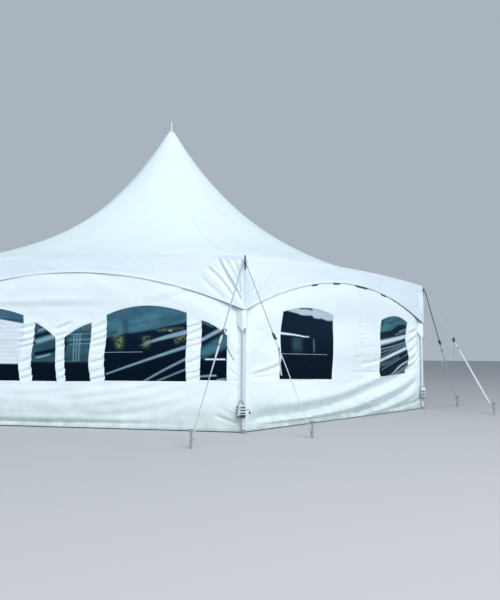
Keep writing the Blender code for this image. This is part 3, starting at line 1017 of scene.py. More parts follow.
@dataclass(frozen=True)
class Ripples:
    """Slight uneven waves all over a sheet."""

    seed: int
    steepness: float
    shortest: float = 0.16
    longest: float = 0.9
    count: int = 9

    def heights(self, spots: Array) -> Array:
        """How far they lift the sheet.

        Args:
            spots: Spots on the side, one a row.

        Returns:
            The rise at each spot.
        """
        draw = random.Random(self.seed)
        total = np.zeros(len(spots))
        for i in range(self.count):
            length = self.shortest * (self.longest / self.shortest) ** (i / (self.count - 1))
            angle = radians(90 + draw.uniform(-38, 38))
            phase = draw.uniform(0, tau)
            swing = draw.uniform(0, tau)
            pace = tau / length
            wave = (spots[:, 0] * cos(angle) + spots[:, 1] * sin(angle)) * pace + phase
            wave += 0.8 * np.sin(spots[:, 0] * pace * 0.21 + swing)
            total += np.sin(wave) * length * self.steepness / tau
        return total


@dataclass(frozen=True)
class Light:
    """A window in a wall, with a head that may climb to one side."""

    middle: float
    width: float
    left_spring: float
    right_spring: float
    crown: float
    sill: float = 0.7

    def head(self, share: Array) -> Array:
        """Height of the head at shares of the way from its left edge to its right."""
        line = self.left_spring + (self.right_spring - self.left_spring) * share
        return line + self.crown * 4 * share * (1 - share)

    def outline(self, grow: float, step: float) -> Array:
        """Points round it.

        Args:
            grow: How far outside the window the outline runs.
            step: Length between two points.

        Returns:
            The spots, one a row, anticlockwise from the lower left.
        """
        left, right = self.middle - self.width / 2 - grow, self.middle + self.width / 2 + grow
        low = self.sill - grow
        across = max(4, round((right - left) / step))
        shares = np.arange(across) / across
        run = left + (right - left) * shares
        edges = []
        for x, start, end in ((right, low, self.right_spring + grow), (left, self.left_spring + grow, low)):
            up = max(4, round(abs(end - start) / step))
            edges.append(beside(np.full(up, x), start + (end - start) * np.arange(up) / up))
        head = beside(left + right - run, self.head(1 - shares) + grow)
        return np.vstack([beside(run, np.full(across, low)), edges[0], head, edges[1]])

    def area(self) -> float:
        """Its area."""
        mean = (self.left_spring + self.right_spring) / 2 + self.crown * 2 / 3
        return self.width * (mean - self.sill)


def three_lights() -> tuple[Light, ...]:
    """Two sets, each with an arched light between two narrow ones, from left to right.

    Returns:
        The lights.
    """
    spacing = 2.575
    shift = -0.074
    middle_width = 1.235
    side_width = 0.38
    gap = 0.21
    reach = (middle_width + side_width) / 2 + gap
    found = []
    for way in (-1, 1):
        middle = shift + way * spacing / 2
        found += [Light(middle - reach, side_width, 1.33, 1.56, 0.035),
                  Light(middle, middle_width, 1.665, 1.665, 0.115),
                  Light(middle + reach, side_width, 1.56, 1.33, 0.035)]
    return tuple(found)


def two_lights() -> tuple[Light, ...]:
    """One wide and one narrower arched light."""
    return (Light(-1.1, 1.355, 1.71, 1.71, 0.095), Light(1.6, 0.96, 1.71, 1.71, 0.095))


def inside(loops: Sequence[Array], spots: Array) -> Array:
    """Which spots lie inside an outline and outside its holes.

    Args:
        loops: The outline's points, and then those of each hole.
        spots: The spots, one a row.

    Returns:
        Whether each of them does.
    """
    found = np.zeros(len(spots), bool)
    x, z = spots.T
    for loop in loops:
        for (x0, z0), (x1, z1) in zip(loop, np.roll(loop, -1, axis=0)):
            if z0 != z1:
                crosses = (z0 > z) != (z1 > z)
                found ^= crosses & (x < (x1 - x0) * (z - z0) / (z1 - z0) + x0)
    return found


def graded(low: float, high: float, coarse: float, fine: float, bands: Sequence[Spot]) -> Array:
    """Places of a grid's lines.

    Args:
        low: The first place.
        high: The last one.
        coarse: The step between two places.
        fine: The step within the bands.
        bands: Starts and ends of the stretches that need the fine step.

    Returns:
        The places in order.
    """
    places = [low]
    while places[-1] < high:
        near = any(start - coarse < places[-1] < end for start, end in bands)
        places.append(places[-1] + (fine if near else coarse))
    found = np.array(places)
    return low + (found - low) * (high - low) / (found[-1] - low)


def filled(outline: Array, holes: Sequence[Array], xs: Array, zs: Array,
           clear: float) -> tuple[Array, Array]:
    """Triangles that fill an outline round its holes.

    Args:
        outline: The outer edge.
        holes: The edges of the holes.
        xs: Columns of the grid of points between the edges.
        zs: Rows of that grid.
        clear: Least distance from a grid point to an edge's points.

    Returns:
        The spots, and the triangles as rows of three indices.
    """
    loops = [outline, *holes]
    edge_spots = np.vstack(loops)
    grid = np.stack(np.meshgrid(xs, zs), axis=-1).reshape(-1, 2)
    grid = grid[inside(loops, grid)]
    far = np.ones(len(grid), bool)
    for spot in edge_spots:
        far &= np.abs(grid - spot).max(axis=1) > clear
    edges = []
    start = 0
    for loop in loops:
        edges += [(start + i, start + (i + 1) % len(loop)) for i in range(len(loop))]
        start += len(loop)
    wanted = [Vector(spot) for spot in np.vstack([edge_spots, grid[far]])]
    spots, _, faces, _, _, _ = delaunay_2d_cdt(wanted, edges, [], 0, 1e-6)
    spots = np.array([tuple(spot) for spot in spots])
    faces = np.array([face for face in faces if len(face) == 3])
    return spots, faces[inside(loops, spots[faces].mean(axis=1))]


@dataclass(frozen=True)
class WallStyle:
    """What differs between the two kinds of side wall.

    Attributes:
        haze: Milky crease streaks in the windows with painted glare at their brightest, and dark blotches
            where a tone is negative.
        sky_reflections: Where a painted reflection of the sky shows in the windows.
        leaf_reflections: Where a painted reflection of leaves shows in the windows.
        belly: How far the skirt swells out.
        seam_bulge: How far the cloth swells at its welded seam.
        glint: Span of the seam that catches the light through a window.
    """

    lights: tuple[Light, ...]
    folds: list[Fold]
    haze: list[Fold | Veil]
    sky_reflections: list[Fold | Veil]
    leaf_reflections: list[Fold | Veil]
    sway: Sway
    ripples: Ripples
    belly: float
    seam_bulge: float
    seam_height: float
    glint: Spot


def mullion_folds(left: float, right: float, heights: Sequence[float], seed: int) -> list[Fold]:
    """Short sharp folds that climb to the right across the cloth between two windows.

    Args:
        left: Edge of the window on the left.
        right: Edge of the one on the right.
        heights: Where the folds start.
        seed: Seed of their uneven slopes and widths.

    Returns:
        The folds, a groove with a ridge above it for each height.
    """
    draw = random.Random(seed)
    folds = []
    for height in heights:
        climb = (right - left) * draw.uniform(0.2, 0.42)
        drop = draw.uniform(-0.01, 0.01)
        width = draw.uniform(0.014, 0.022)
        path = ((left - 0.1, height - climb * 0.6), (left, height), (right, height + climb),
                (right + 0.1, height + climb * 1.6))
        folds.append(Fold(path, -draw.uniform(0.014, 0.024), width, fade=(0.3, 0.3)))
        above = tuple((x, z + width * 1.9 + drop) for x, z in path)
        folds.append(Fold(above, draw.uniform(0.006, 0.012), width * 1.2, fade=(0.3, 0.3)))
    return folds


def front_style() -> WallStyle:
    """The wall with six windows: long soft folds over a belly, and pulls beside the leg.

    Returns:
        The style.
    """
    lights = three_lights()
    folds = ridges((
        (0.016, 0.055, -2.3, 1.84, -1.1, 1.845, -0.1, 1.85, 0.75, 1.86),
        (-0.012, 0.03, -2.3, 1.775, -1.1, 1.778, -0.1, 1.785, 0.65, 1.79),
        (-0.014, 0.028, 1.2, 1.795, 1.54, 1.87, 1.95, 2.02),
        (0.01, 0.04, 1.15, 1.845, 1.5, 1.925, 1.9, 2.08), (-0.008, 0.045, -2.4, 1.93, -1.7, 1.99),
        (-0.021, 0.036, 0.05, -0.35, 0.385, 0.565, 0.478, 1.6, 0.655),
        (0.015, 0.045, -0.2, 0.43, 0.75, 0.54, 1.6, 0.69),
        (-0.02, 0.038, 0.05, 0.2, 0.295, 0.96, 0.37, 2.05, 0.615),
        (-0.024, 0.05, 0.07, 0.1, 0.145, 1.2, 0.262, 2.45, 0.6),
        (-0.015, 0.04, -1.25, 0.455, -0.29, 0.475, 0.42, 0.595),
        (-0.015, 0.06, -2.5, 0.25, -1.5, 0.33, -0.4, 0.36),
        (-0.015, 0.04, -2.6, 0.5, -1.9, 0.42, -1.1, 0.4),
        (-0.021, 0.026, 0.016, 2.2, 0.235, 2.4, 0.17, 2.62, 0.095),
        (-0.015, 0.022, 0.014, 2.3, 0.325, 2.46, 0.25, 2.62, 0.165),
    ))
    hem = (-0.034, 0.03, -2.62, 0.068, -1, 0.07, 0.48, 0.078, 1.85, 0.085)
    folds += ridges((hem,), (0.04, 0.35), 0.5)
    folds += ridges(((0.014, 0.045, -2.62, 0.135, -1, 0.14, 0.48, 0.15, 2, 0.16),), (0.04, 0.4))
    folds += ridges((-0.012, 0.011, 0.014, *pull) for pull in (
        (2.46, 1.185, 2.64, 1.35), (2.44, 1.27, 2.6, 1.3), (2.42, 0.87, 2.57, 0.76),
        (2.45, 0.695, 2.64, 0.722), (2.49, 0.58, 2.64, 0.646), (2.45, 0.455, 2.62, 0.644),
        (2.46, 1.47, 2.62, 1.56), (2.44, 1.01, 2.62, 1.12), (-2.62, 1.42, -2.46, 1.3),
        (-2.62, 1.15, -2.45, 1.1), (-2.6, 0.78, -2.44, 0.86), (-2.62, 0.64, -2.42, 0.56)))
    rows = (0.7, 0.8, 0.945, 1.165, 1.25, 1.345, 1.45)
    gaps = [(a.middle + a.width / 2, b.middle - b.width / 2) for a, b in zip(lights, lights[1:])]
    for i, (left, right) in enumerate(gaps):
        keep = rows if right - left > 0.15 else rows[:-1:2]
        folds += mullion_folds(left, right, keep, 40 + i)
    haze = streaks((
        (0.62, 0.01, 0.026, 0.58, 0.77, 1.09, 0.945, 1.9, 1.205),
        (0.6, 0.011, 0.018, 1.15, 0.665, 1.5, 0.855, 1.9, 1.05),
        (0.52, 0.01, 0.013, 1.36, 0.68, 1.9, 0.895), (0.8, 0.009, 1.55, 1.403, 1.6, 1.406),
        (0.72, 0.024, 0.03, 2, 1.255, 2.4, 1.455), (1, 0.013, 2.09, 0.999, 2.39, 1.001),
        (0.72, 0.013, 2, 0.762, 2.26, 0.777), (0.6, 0.009, 2.26, 0.721, 2.45, 0.735),
        (0.62, 0.035, -0.53, 1.235, -0.15, 1.35), (0.5, 0.02, -0.51, 1.405, -0.3, 1.46),
        (0.75, 0.012, -0.53, 1.01, -0.45, 1.02, -0.38, 1.035, -0.27, 1.065),
        (0.7, 0.03, -2.6, 1.1, -2.16, 1.25), (0.6, 0.02, -2.6, 0.82, -2.16, 0.93),
    ))
    haze += streaks(((0.68, 0.012, 0.038, 1, 1.15, 1.41, 1.285, 1.9, 1.4),), (0.5, 0.02))
    haze += [
        Veil(((-2.24, 0.915), (-0.7, 0.915)), 0.93, 0.015),
        Veil(((-2.2, 1.5), (-1.85, 1.585), (-1.45, 1.615), (-1.1, 1.585), (-0.7, 1.515)), -1, 0.015),
    ]
    haze += streaks((0.45, 0.008, x, 0.95, x + 0.01, 1.37) for x in (0.09, 0.135, 0.175))
    haze += streaks((0.45, 0.008, 0.01, z, 0.38, z + 0.01) for z in (1.21, 1.27, 1.355))
    haze += streaks((-0.035, 0.014, -2.1, z, -0.7, z) for z in np.arange(0.972, 1.53, 0.06))
    sky_reflections = streaks((
        (0.95, 0.075, 0.095, 2, 1.06, 2.2, 1.165, 2.45, 1.3), (0.8, 0.035, 2.02, 1.56, 2.22, 1.47),
        (-0.5, 0.022, -1.3, 1.585, -0.95, 1.575, -0.7, 1.55),
        (-0.18, 0.022, 0.95, 1.47, 1.35, 1.56, 1.8, 1.6), (-0.8, 0.022, -0.54, 1.325, -0.15, 1.42),
        (-0.8, 0.025, -0.54, 1.065, -0.15, 1.135),
    ))
    sky_reflections += streaks(((-0.45, 0.05, 0.87, 1.6, 0.9, 1.42, 0.88, 1.3),), (0.3, 0.05))
    sky_reflections += streaks(((-0.35, 0.03, 0.6, 1.36, 0.8, 1.4),), (0.3, 0.3))
    sky_reflections += [
        Veil(((0.5, 1.3), (0.75, 1.33), (0.95, 1.37), (1.15, 1.395), (1.4, 1.44), (1.9, 1.54)), 1, 0.04),
        Veil(((-0.65, 0.95), (-0.1, 0.95)), 0.55, 0.04), Veil(((-0.04, 0.95), (0.45, 0.95)), 0.55, 0.04),
        Veil(((-0.04, 1.385), (0.45, 1.385)), 0.8, 0.03), Veil(((-2.75, 1.5), (-0.65, 1.5)), 0.9, 0.03),
    ]
    leaf_reflections = ridges((
        (1.2, 0.05, 0.07, 0.77, 1.1, 0.8, 1.25, 0.76, 1.38),
        (1.1, 0.04, 0.06, 1.19, 1.12, 1.215, 1.25, 1.23, 1.35),
    ), (0.4, 0.2))
    leaf_reflections += ridges((
        (1, 0.035, 1.62, 1.25, 1.83, 1.31), (0.8, 0.018, 1.3, 1.405, 1.6, 1.425, 1.82, 1.44),
    ))
    leaf_reflections.append(Veil(((-0.04, 1.42), (0.45, 1.42)), 0.45, 0.1))
    sway = Sway(
        (-2.65, -0.744, -0.534, -0.154, 0.006, 0.386, 0.596, 1.831, 2.041, 2.421, 2.65),
        ((0, -0.014, -0.04, -0.005, -0.039, -0.015, -0.014, -0.009, -0.038, -0.01, 0),
         (0, -0.052, -0.069, -0.034, -0.069, -0.05, -0.037, -0.02, -0.032, -0.01, 0),
         (0, 0.028, -0.019, -0.043, -0.081, -0.013, -0.003, 0, -0.008, 0, 0)),
        ((-0.04, -0.041, -0.041, -0.041, -0.04, -0.035, -0.024, -0.02, 0, 0, 0),
         (-0.04, -0.035, -0.035, -0.034, -0.034, -0.031, -0.031, -0.015, 0, 0, 0),
         (-0.04, -0.03, -0.03, -0.028, -0.028, -0.028, -0.039, -0.01, 0, 0, 0)),
    )
    return WallStyle(lights, folds, haze, sky_reflections, leaf_reflections, sway, Ripples(11, 0.016), 0.03, 0.004, 1.125,
                     (0.6, 1.186))


def right_style() -> WallStyle:
    """The wall with two windows: deep folds that sweep up to its right-hand leg.

    Returns:
        The style.
    """
    folds = ridges((
        (-0.009, 0.014, -1.75, 0.69, -1.1, 0.665, -0.35, 0.69),
        (-0.018, 0.026, 0.28, 0.47, 0.75, 0.505, 1.3, 0.59),
        (-0.018, 0.028, 1, 0.46, 1.5, 0.54, 2.05, 0.67),
        (-0.021, 0.024, 0.38, 0.895, 0.75, 0.93, 1.14, 0.975),
        (0.012, 0.028, 0.4, 0.85, 0.8, 0.88, 1.14, 0.92), (-0.015, 0.02, 0.05, 0.765, 1.12, 0.75),
        (-0.012, 0.016, -2.58, 1.155, -2.4, 1.24), (-0.012, 0.028, -2.48, 1.44, -2.2, 1.395),
        (0.008, 0.02, -1.785, 1.5, -1.8, 1.15, -1.79, 0.75),
    ))
    folds += ridges((
        (0.015, 0.04, -2.5, 0.8, -2.06, 0.9, -1.72, 1.01), (-0.018, 0.022, -2.5, 0.735, -1.75, 0.77),
    ), (0.3, 0.3))
    trough = (-0.082, 0.11, 0.13, -2.62, 0.135, -2, 0.175, -1.18, 0.18, -0.1, 0.285, 0.9, 0.45,
              1.75, 0.61, 2.6, 0.83)
    folds += ridges((trough,), (0.1, 0.1), 0.3)
    crest = (0.034, 0.08, 0.06, -2.45, 0.285, -1.6, 0.33, -0.3, 0.42, 0.8, 0.62, 1.7, 0.78, 2.4, 0.94)
    folds += ridges((crest,), (0.25, 0.2))
    roll = (0.04, 0.034, 0.055, -2.3, 0.105, -1.18, 0.115, 0.1, 0.185, 1.23, 0.37, 2, 0.54, 2.58, 0.72)
    folds += ridges((roll,), (0.2, 0.15))
    crease = (-0.068, 0.045, 0.075, -0.25, 0.03, 0.53, 0.085, 1.25, 0.185, 1.99, 0.35, 2.58, 0.56)
    folds += ridges((crease,), (0.3, 0.12), 0.4)
    folds += ridges(((0.034, 0.03, 0.05, 0.3, 0.04, 1.2, 0.105, 2, 0.24, 2.58, 0.4),), (0.3, 0.2))
    folds += ridges(((-0.036, 0.018, 0.022, 1.45, 0.06, 2.14, 0.115, 2.64, 0.18),), (0.3, 0.05))
    folds += ridges(((-0.034, 0.018, -2.4, 0.058, -1.32, 0.06, 0.1, 0.022),), (0.2, 0.2))
    folds += ridges(((-0.03, 0.022, 0.034, -2.55, 0.775, -2.06, 0.845, -1.7, 0.945),), (0.4, 0.3))
    for path in (((2.02, 1.44), (2.35, 1.53), (2.64, 1.625)), ((2.04, 1.255), (2.36, 1.385), (2.64, 1.53)),
                 ((2.04, 1.065), (2.36, 1.19), (2.64, 1.38)), ((2.06, 0.9), (2.38, 1.02), (2.65, 1.24)),
                 ((2.04, 0.755), (2.36, 0.86), (2.64, 1.045))):
        folds.append(Fold(path, -0.03, 0.026, 0.018, (0.35, 0.08)))
        folds.append(Fold(tuple((x, z + 0.075) for x, z in path), 0.022, 0.034, 0.02, (0.35, 0.08)))
    folds += ridges((-0.01, 0.013, left, z, (left + right) / 2, z + climb * 0.3, right, z + climb)
                    for left, right, z, climb in (
                        (0.24, 0.72, 1.61, 0.04), (0.3, 0.66, 1.545, 0.02), (0.24, 0.74, 1.47, 0.05),
                        (0.3, 0.7, 1.4, 0.025), (0.22, 0.74, 1.32, 0.035), (0.28, 1.02, 1.194, 0.03),
                        (0.3, 0.62, 1.255, 0.018), (0.22, 0.56, 1.02, 0.03), (0.2, 0.55, 0.64, 0.02)))
    haze = streaks((
        (-0.5, 0.018, -1.38, 1.775, -1.2, 1.79, -1.02, 1.77),
        (1, 0.02, 0.01, -1.85, 1.388, -1.44, 1.367, -1.21, 1.345, -1.087, 1.349),
        (0.88, 0.055, 0.04, 1.05, 1.278, 1.58, 1.35, 2.2, 1.452),
        (0.55, 0.012, 1.05, 1.158, 1.6, 1.235, 2.2, 1.345), (0.5, 0.01, 1.05, 1.097, 1.6, 1.19, 2.2, 1.312),
        (0.92, 0.036, 1, 0.94, 1.64, 1.1, 2.24, 1.238),
        (0.85, 0.016, 0.02, 1.45, 0.69, 1.77, 0.84, 2.24, 0.975),
        (0.7, 0.01, 1.62, 0.69, 1.9, 0.8, 2.24, 0.925), (0.4, 0.008, 1.05, 1.025, 1.6, 1.16, 2.22, 1.28),
        (0.45, 0.008, 1.1, 0.78, 1.6, 0.925, 2.22, 1.12), (0.75, 0.01, 1.8, 0.69, 2.22, 0.875),
        (0.6, 0.01, 2, 0.69, 2.2, 0.79), (0.75, 0.009, 1.75, 1.5, 2.16, 1.595),
        (0.5, 0.008, 1.6, 1.44, 2.16, 1.542),
    ))
    haze += ridges(((0.26, 0.022, -0.975, 1.36, -0.97, 1.07),))
    blind = ((-1.85, 1.735), (-1.64, 1.717), (-1.44, 1.696), (-1.313, 1.674), (-1.188, 1.674),
             (-1.037, 1.681), (-0.987, 1.645), (-0.836, 1.638), (-0.761, 1.645), (-0.585, 1.616),
             (-0.35, 1.623))
    haze += [Veil(blind, 0.78, 0.012), Veil(((1, 0.68), (2.26, 0.68)), 0.06, 0.02)]
    sky_reflections = streaks((
        (-0.8, 0.03, 1.13, 1.8, 1.15, 1.6), (-0.4, 0.02, 1.3, 1.64, 1.6, 1.7, 1.8, 1.77),
        (0.7, 0.04, 1.05, 0.86, 1.5, 0.95, 1.8, 1.02),
    ))
    sky_reflections += streaks(((0.28, 0.13, -1.4, 1.33, -1.4, 1.05),), (0.05, 0.5))
    sky_reflections.append(Veil(((1.05, 1.467), (1.49, 1.52), (1.705, 1.63), (1.92, 1.645), (2.2, 1.575)), 0.95, 0.02))
    leaf_reflections = streaks(((0.1, 0.13, -1.4, 1.33, -1.4, 1.1),), (0.05, 0.6))
    leaf_reflections += ridges(((0.25, 0.025, -0.96, 1.33, -0.95, 1),))
    sway = Sway(
        (-2.65, -1.7775, -0.4225, 1.12, 2.08, 2.65),
        ((0, -0.052, -0.03, -0.09, 0.078, 0), (0, -0.042, -0.01, -0.055, 0.078, 0),
         (0, -0.05, 0.008, -0.045, -0.075, 0)),
        ((0, 0, -0.042, -0.035, 0, 0), (0, 0, -0.02, -0.02, -0.02, 0),
         (0, 0, 0, -0.017, -0.041, 0)),
    )
    return WallStyle(two_lights(), folds, haze, sky_reflections, leaf_reflections, sway, Ripples(23, 0.012), 0.022, 0.02, 1.083,
                     (-1.75, -0.6))


@dataclass
class SideWall:
    """A side wall with its windows, hung from the roof inside the legs, sized from a packed sample."""

    plan: Plan
    style: WallStyle
    sample: str
    leg_gap: float = 0.0045
    cloth: float = 0.0014
    lap: float = 0.016
    coarse: float = 0.04
    fine: float = 0.016
    pane_step: float = 0.02
    pane_rise: float = 0.012
    joint_place: float = 0.405
    hem_drop: float = 0.585
    lean: float = 0.066
    # Strength of the painted sky reflection towards the top of each window.
    glow: float = 0.03

    def __post_init__(self) -> None:
        """Take the wall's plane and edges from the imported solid."""
        low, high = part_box(self.sample)
        self.out = -max(abs(low.y), abs(high.y)) + self.cloth
        self.hem = low.z
        self.end = self.plan.half_length(-self.out - self.plan.apothem) - 0.001

    def top(self, x: Array) -> Array:
        """Height of the wall's upper edge, just under the roof."""
        return self.plan.eave - 0.012 + self.plan.bow(np.clip(x / self.end, -1, 1))

    def lift(self, spots: Array) -> Array:
        """How far the wall stands outside its plane.

        Args:
            spots: Spots on the wall, one a row.

        Returns:
            The distance at each spot, outward.
        """
        x, z = spots.T
        style = self.style
        total = style.ripples.heights(spots) + sum(fold.heights(spots) for fold in style.folds)
        total += style.belly * np.exp(-(((z - 0.4) / 0.22) ** 2))
        from_seam = z - style.seam_height
        total += style.seam_bulge * np.exp(-((from_seam / np.where(from_seam < 0, 0.13, 0.4)) ** 2))
        hidden = self.plan.valance_arch - self.hem_drop * (x / self.end) ** 2
        total += self.lean * (smooth((z - hidden + 0.75) / 0.65) - 0.6 * smooth((z - hidden - 0.02) / 0.1))
        near_end = self.end - np.abs(x)
        total *= smooth(near_end / 0.07) * smooth((self.top(x) - z) / 0.25)
        limit = self.leg_gap + 0.35 * np.maximum(0, near_end - 0.075)
        return np.where(total > 0, limit * np.tanh(total / limit), total)

    def points(self, spots: Array, proud: float = 0) -> Array:
        """Points of the wall in the side's own frame, this far outside its face."""
        moved = self.style.sway.moved(spots)
        return beside(moved[:, 0], self.out - self.lift(moved) - proud, moved[:, 1])

    def body(self) -> Mesh:
        """The cloth, cut through for the windows.

        Returns:
            The mesh.
        """
        lights = self.style.lights
        edges = [light.middle + way * light.width / 2 for light in lights for way in (-1, 1)]
        bands = [(-self.end, 0.24 - self.end), (self.end - 0.26, self.end)]
        bands += [(a, b) for a, b in zip(edges[1::2], edges[2::2]) if b - a < 0.4]
        bands += [(edge - 0.02, edge + 0.02) for edge in edges]
        xs = graded(-self.end, self.end, self.coarse, self.fine, bands)
        zs = graded(self.hem, self.plan.eave + 0.1, self.coarse, self.fine * 1.25, [(0.02, 0.2), (0.62, 1.7)])
        top = beside(xs[::-1], self.top(xs[::-1]))
        bottom = beside(xs, np.full(len(xs), self.hem))
        side = zs[(zs > self.hem) & (zs < self.top(np.array([self.end]))[0])][1:-1]
        right = beside(np.full(len(side), self.end), side)
        left = beside(np.full(len(side), -self.end), side[::-1])
        outline = np.vstack([bottom, right, top, left])
        holes = [light.outline(0, self.fine * 1.3) for light in lights]
        spots, faces = filled(outline, holes, xs, zs, self.fine * 0.62)
        return sheet_mesh("wall_cloth", self.points(spots), faces[:, ::-1], WALL_FABRIC, self.cloth)

    def panes(self) -> Mesh:
        """The clear sheets that close the windows from inside, with their creases.

        Returns:
            The mesh.
        """
        style = self.style
        all_points, all_faces, start = [], [], 0
        creases = Ripples(5, 0.085, 0.07, 0.3, 7)
        for light in style.lights:
            outline = light.outline(self.lap, self.pane_step)
            xs = np.arange(outline[:, 0].min(), outline[:, 0].max(), self.pane_step)
            zs = np.arange(outline[:, 1].min(), outline[:, 1].max(), self.pane_rise)
            spots, faces = filled(outline, [], xs, zs, self.pane_rise * 0.62)
            inset = np.minimum(light.width / 2 - np.abs(spots[:, 0] - light.middle), spots[:, 1] - light.sill)
            head = light.head(np.clip((spots[:, 0] - light.middle) / light.width + 0.5, 0, 1))
            slack = smooth(np.minimum(inset, head - spots[:, 1]) / 0.12)
            points = self.points(spots, -self.cloth - 0.002)
            wrinkle = creases.heights(spots) * 0.3 + toned(style.haze, points[:, ::2]) * 0.007
            points[:, 1] -= wrinkle * slack
            all_points.append(points)
            all_faces.append(faces[:, ::-1] + start)
            start += len(points)
        points = np.vstack(all_points)
        spots = points[:, ::2]
        # The painted sky reflection grows stronger towards the top of each window.
        sky_near_top = self.glow * smooth((spots[:, 1] - 1) / 0.6)
        marks = {"haze": toned(style.haze, spots), "leaf": toned(style.leaf_reflections, spots),
                 "sky": np.maximum(toned(style.sky_reflections, spots), sky_near_top)}
        return sheet_mesh("window_panes", points, np.vstack(all_faces), WINDOW_VINYL, marks=marks)

    def ribbon(self, piece: Piece, line: Array, width: float, proud: float, finish: Finish,
               closed: bool = False) -> None:
        """Lay a thin band on the wall along a line of spots.

        Args:
            piece: The piece that it joins.
            line: The spots along its middle.
            width: Its whole width.
            proud: How far its face stands off the cloth.
            finish: Its finish.
            closed: Whether the line is a loop.
        """
        ahead = np.roll(line, -1, axis=0) if closed else np.vstack([line[1:], 2 * line[-1] - line[-2]])
        behind = np.roll(line, 1, axis=0) if closed else np.vstack([2 * line[0] - line[1], line[:-1]])
        along = ahead - behind
        along /= np.hypot(*along.T)[:, None]
        side = beside(-along[:, 1], along[:, 0]) * width / 2
        loops = [self.points(line - side, -0.0004), self.points(line - side * 0.86, proud),
                 self.points(line + side * 0.86, proud), self.points(line + side, -0.0004)]
        piece.loft(np.stack(loops, axis=1).tolist(), finish, closed)

    def trims(self) -> Mesh:
        """Welts round the windows, welded seams, the stitched joint and the hem.

        Returns:
            The mesh.
        """
        piece = Piece()
        for light in self.style.lights:
            self.ribbon(piece, light.outline(0.006, 0.03), 0.03, 0.0022, WELD_FABRIC, closed=True)
        end = self.end - 0.03
        walls = [-end, *(light.middle + way * (light.width / 2 + 0.022)
                         for light in self.style.lights for way in (-1, 1)), end]
        seam = self.style.seam_height
        sill = self.style.lights[0].sill - 0.036
        bands = [(-end, end, sill, 0.026, 0.0016, WELD_FABRIC),
                 # Painted shade line just under the sill band.
                 (-end, end, sill - 0.016, 0.005, 0.001, SHADE_AND_STITCHING),
                 (-end, end, self.hem + 0.034, 0.062, 0.0022, WELD_FABRIC),
                 # Pale strip only where the seam catches the light behind a window: a painted highlight.
                 (*self.style.glint, seam, 0.003, 0.0004 - self.cloth, WELD_FABRIC)]
        for left, right in zip(walls[::2], walls[1::2]):
            if right - left > 0.05:
                bands += [(left, right, seam, 0.028, 0.0016, WELD_FABRIC),
                          # Painted shade line just under the seam band.
                          (left, right, seam - 0.019, 0.009, 0.001, SHADE_AND_STITCHING)]
        for left, right, height, width, proud, finish in bands:
            line = np.linspace((left, height), (right, height), max(2, round((right - left) / 0.03) + 1))
            self.ribbon(piece, line, width, proud, finish)
        if len(self.style.lights) == 2:
            place = self.joint_place
            line = curve_through(((place - 0.16, 0.3), (place, 0.95), (place + 0.03, 1.72)), 26)
            self.ribbon(piece, line, 0.034, 0.0009, WELD_FABRIC)
            for spot in line[3::4]:
                at = move(*self.points(spot[None, :], 0.0032)[0]) @ turn(90, "X")
                piece.rod(0.0065, -0.001, 0.0022, ZINC, at, 12)
        return piece.mesh("wall_trims")

    def build(self, sides: Iterable[Side]) -> None:
        """Hang the wall, its panes and its trims on each side of this kind.

        Args:
            sides: The sides to hang it on.
        """
        cloth, panes, trims = self.body(), self.panes(), self.trims()
        area = sum(light.area() for light in self.style.lights)
        first, last = self.style.lights[0], self.style.lights[-1]
        tall = max(light.head(np.array([0.5]))[0] for light in self.style.lights) - first.sill + 2 * self.lap
        for side in sides:
            place = side.place()
            wall = put(f"wall_{side.label}", cloth, place, [f"sidewall_{side.label}"])
            trim = put(f"wall_trim_{side.label}", trims, place)
            pane = put(f"window_panes_{side.label}", panes, place,
                       [f"window_sheet_{side.label}"])


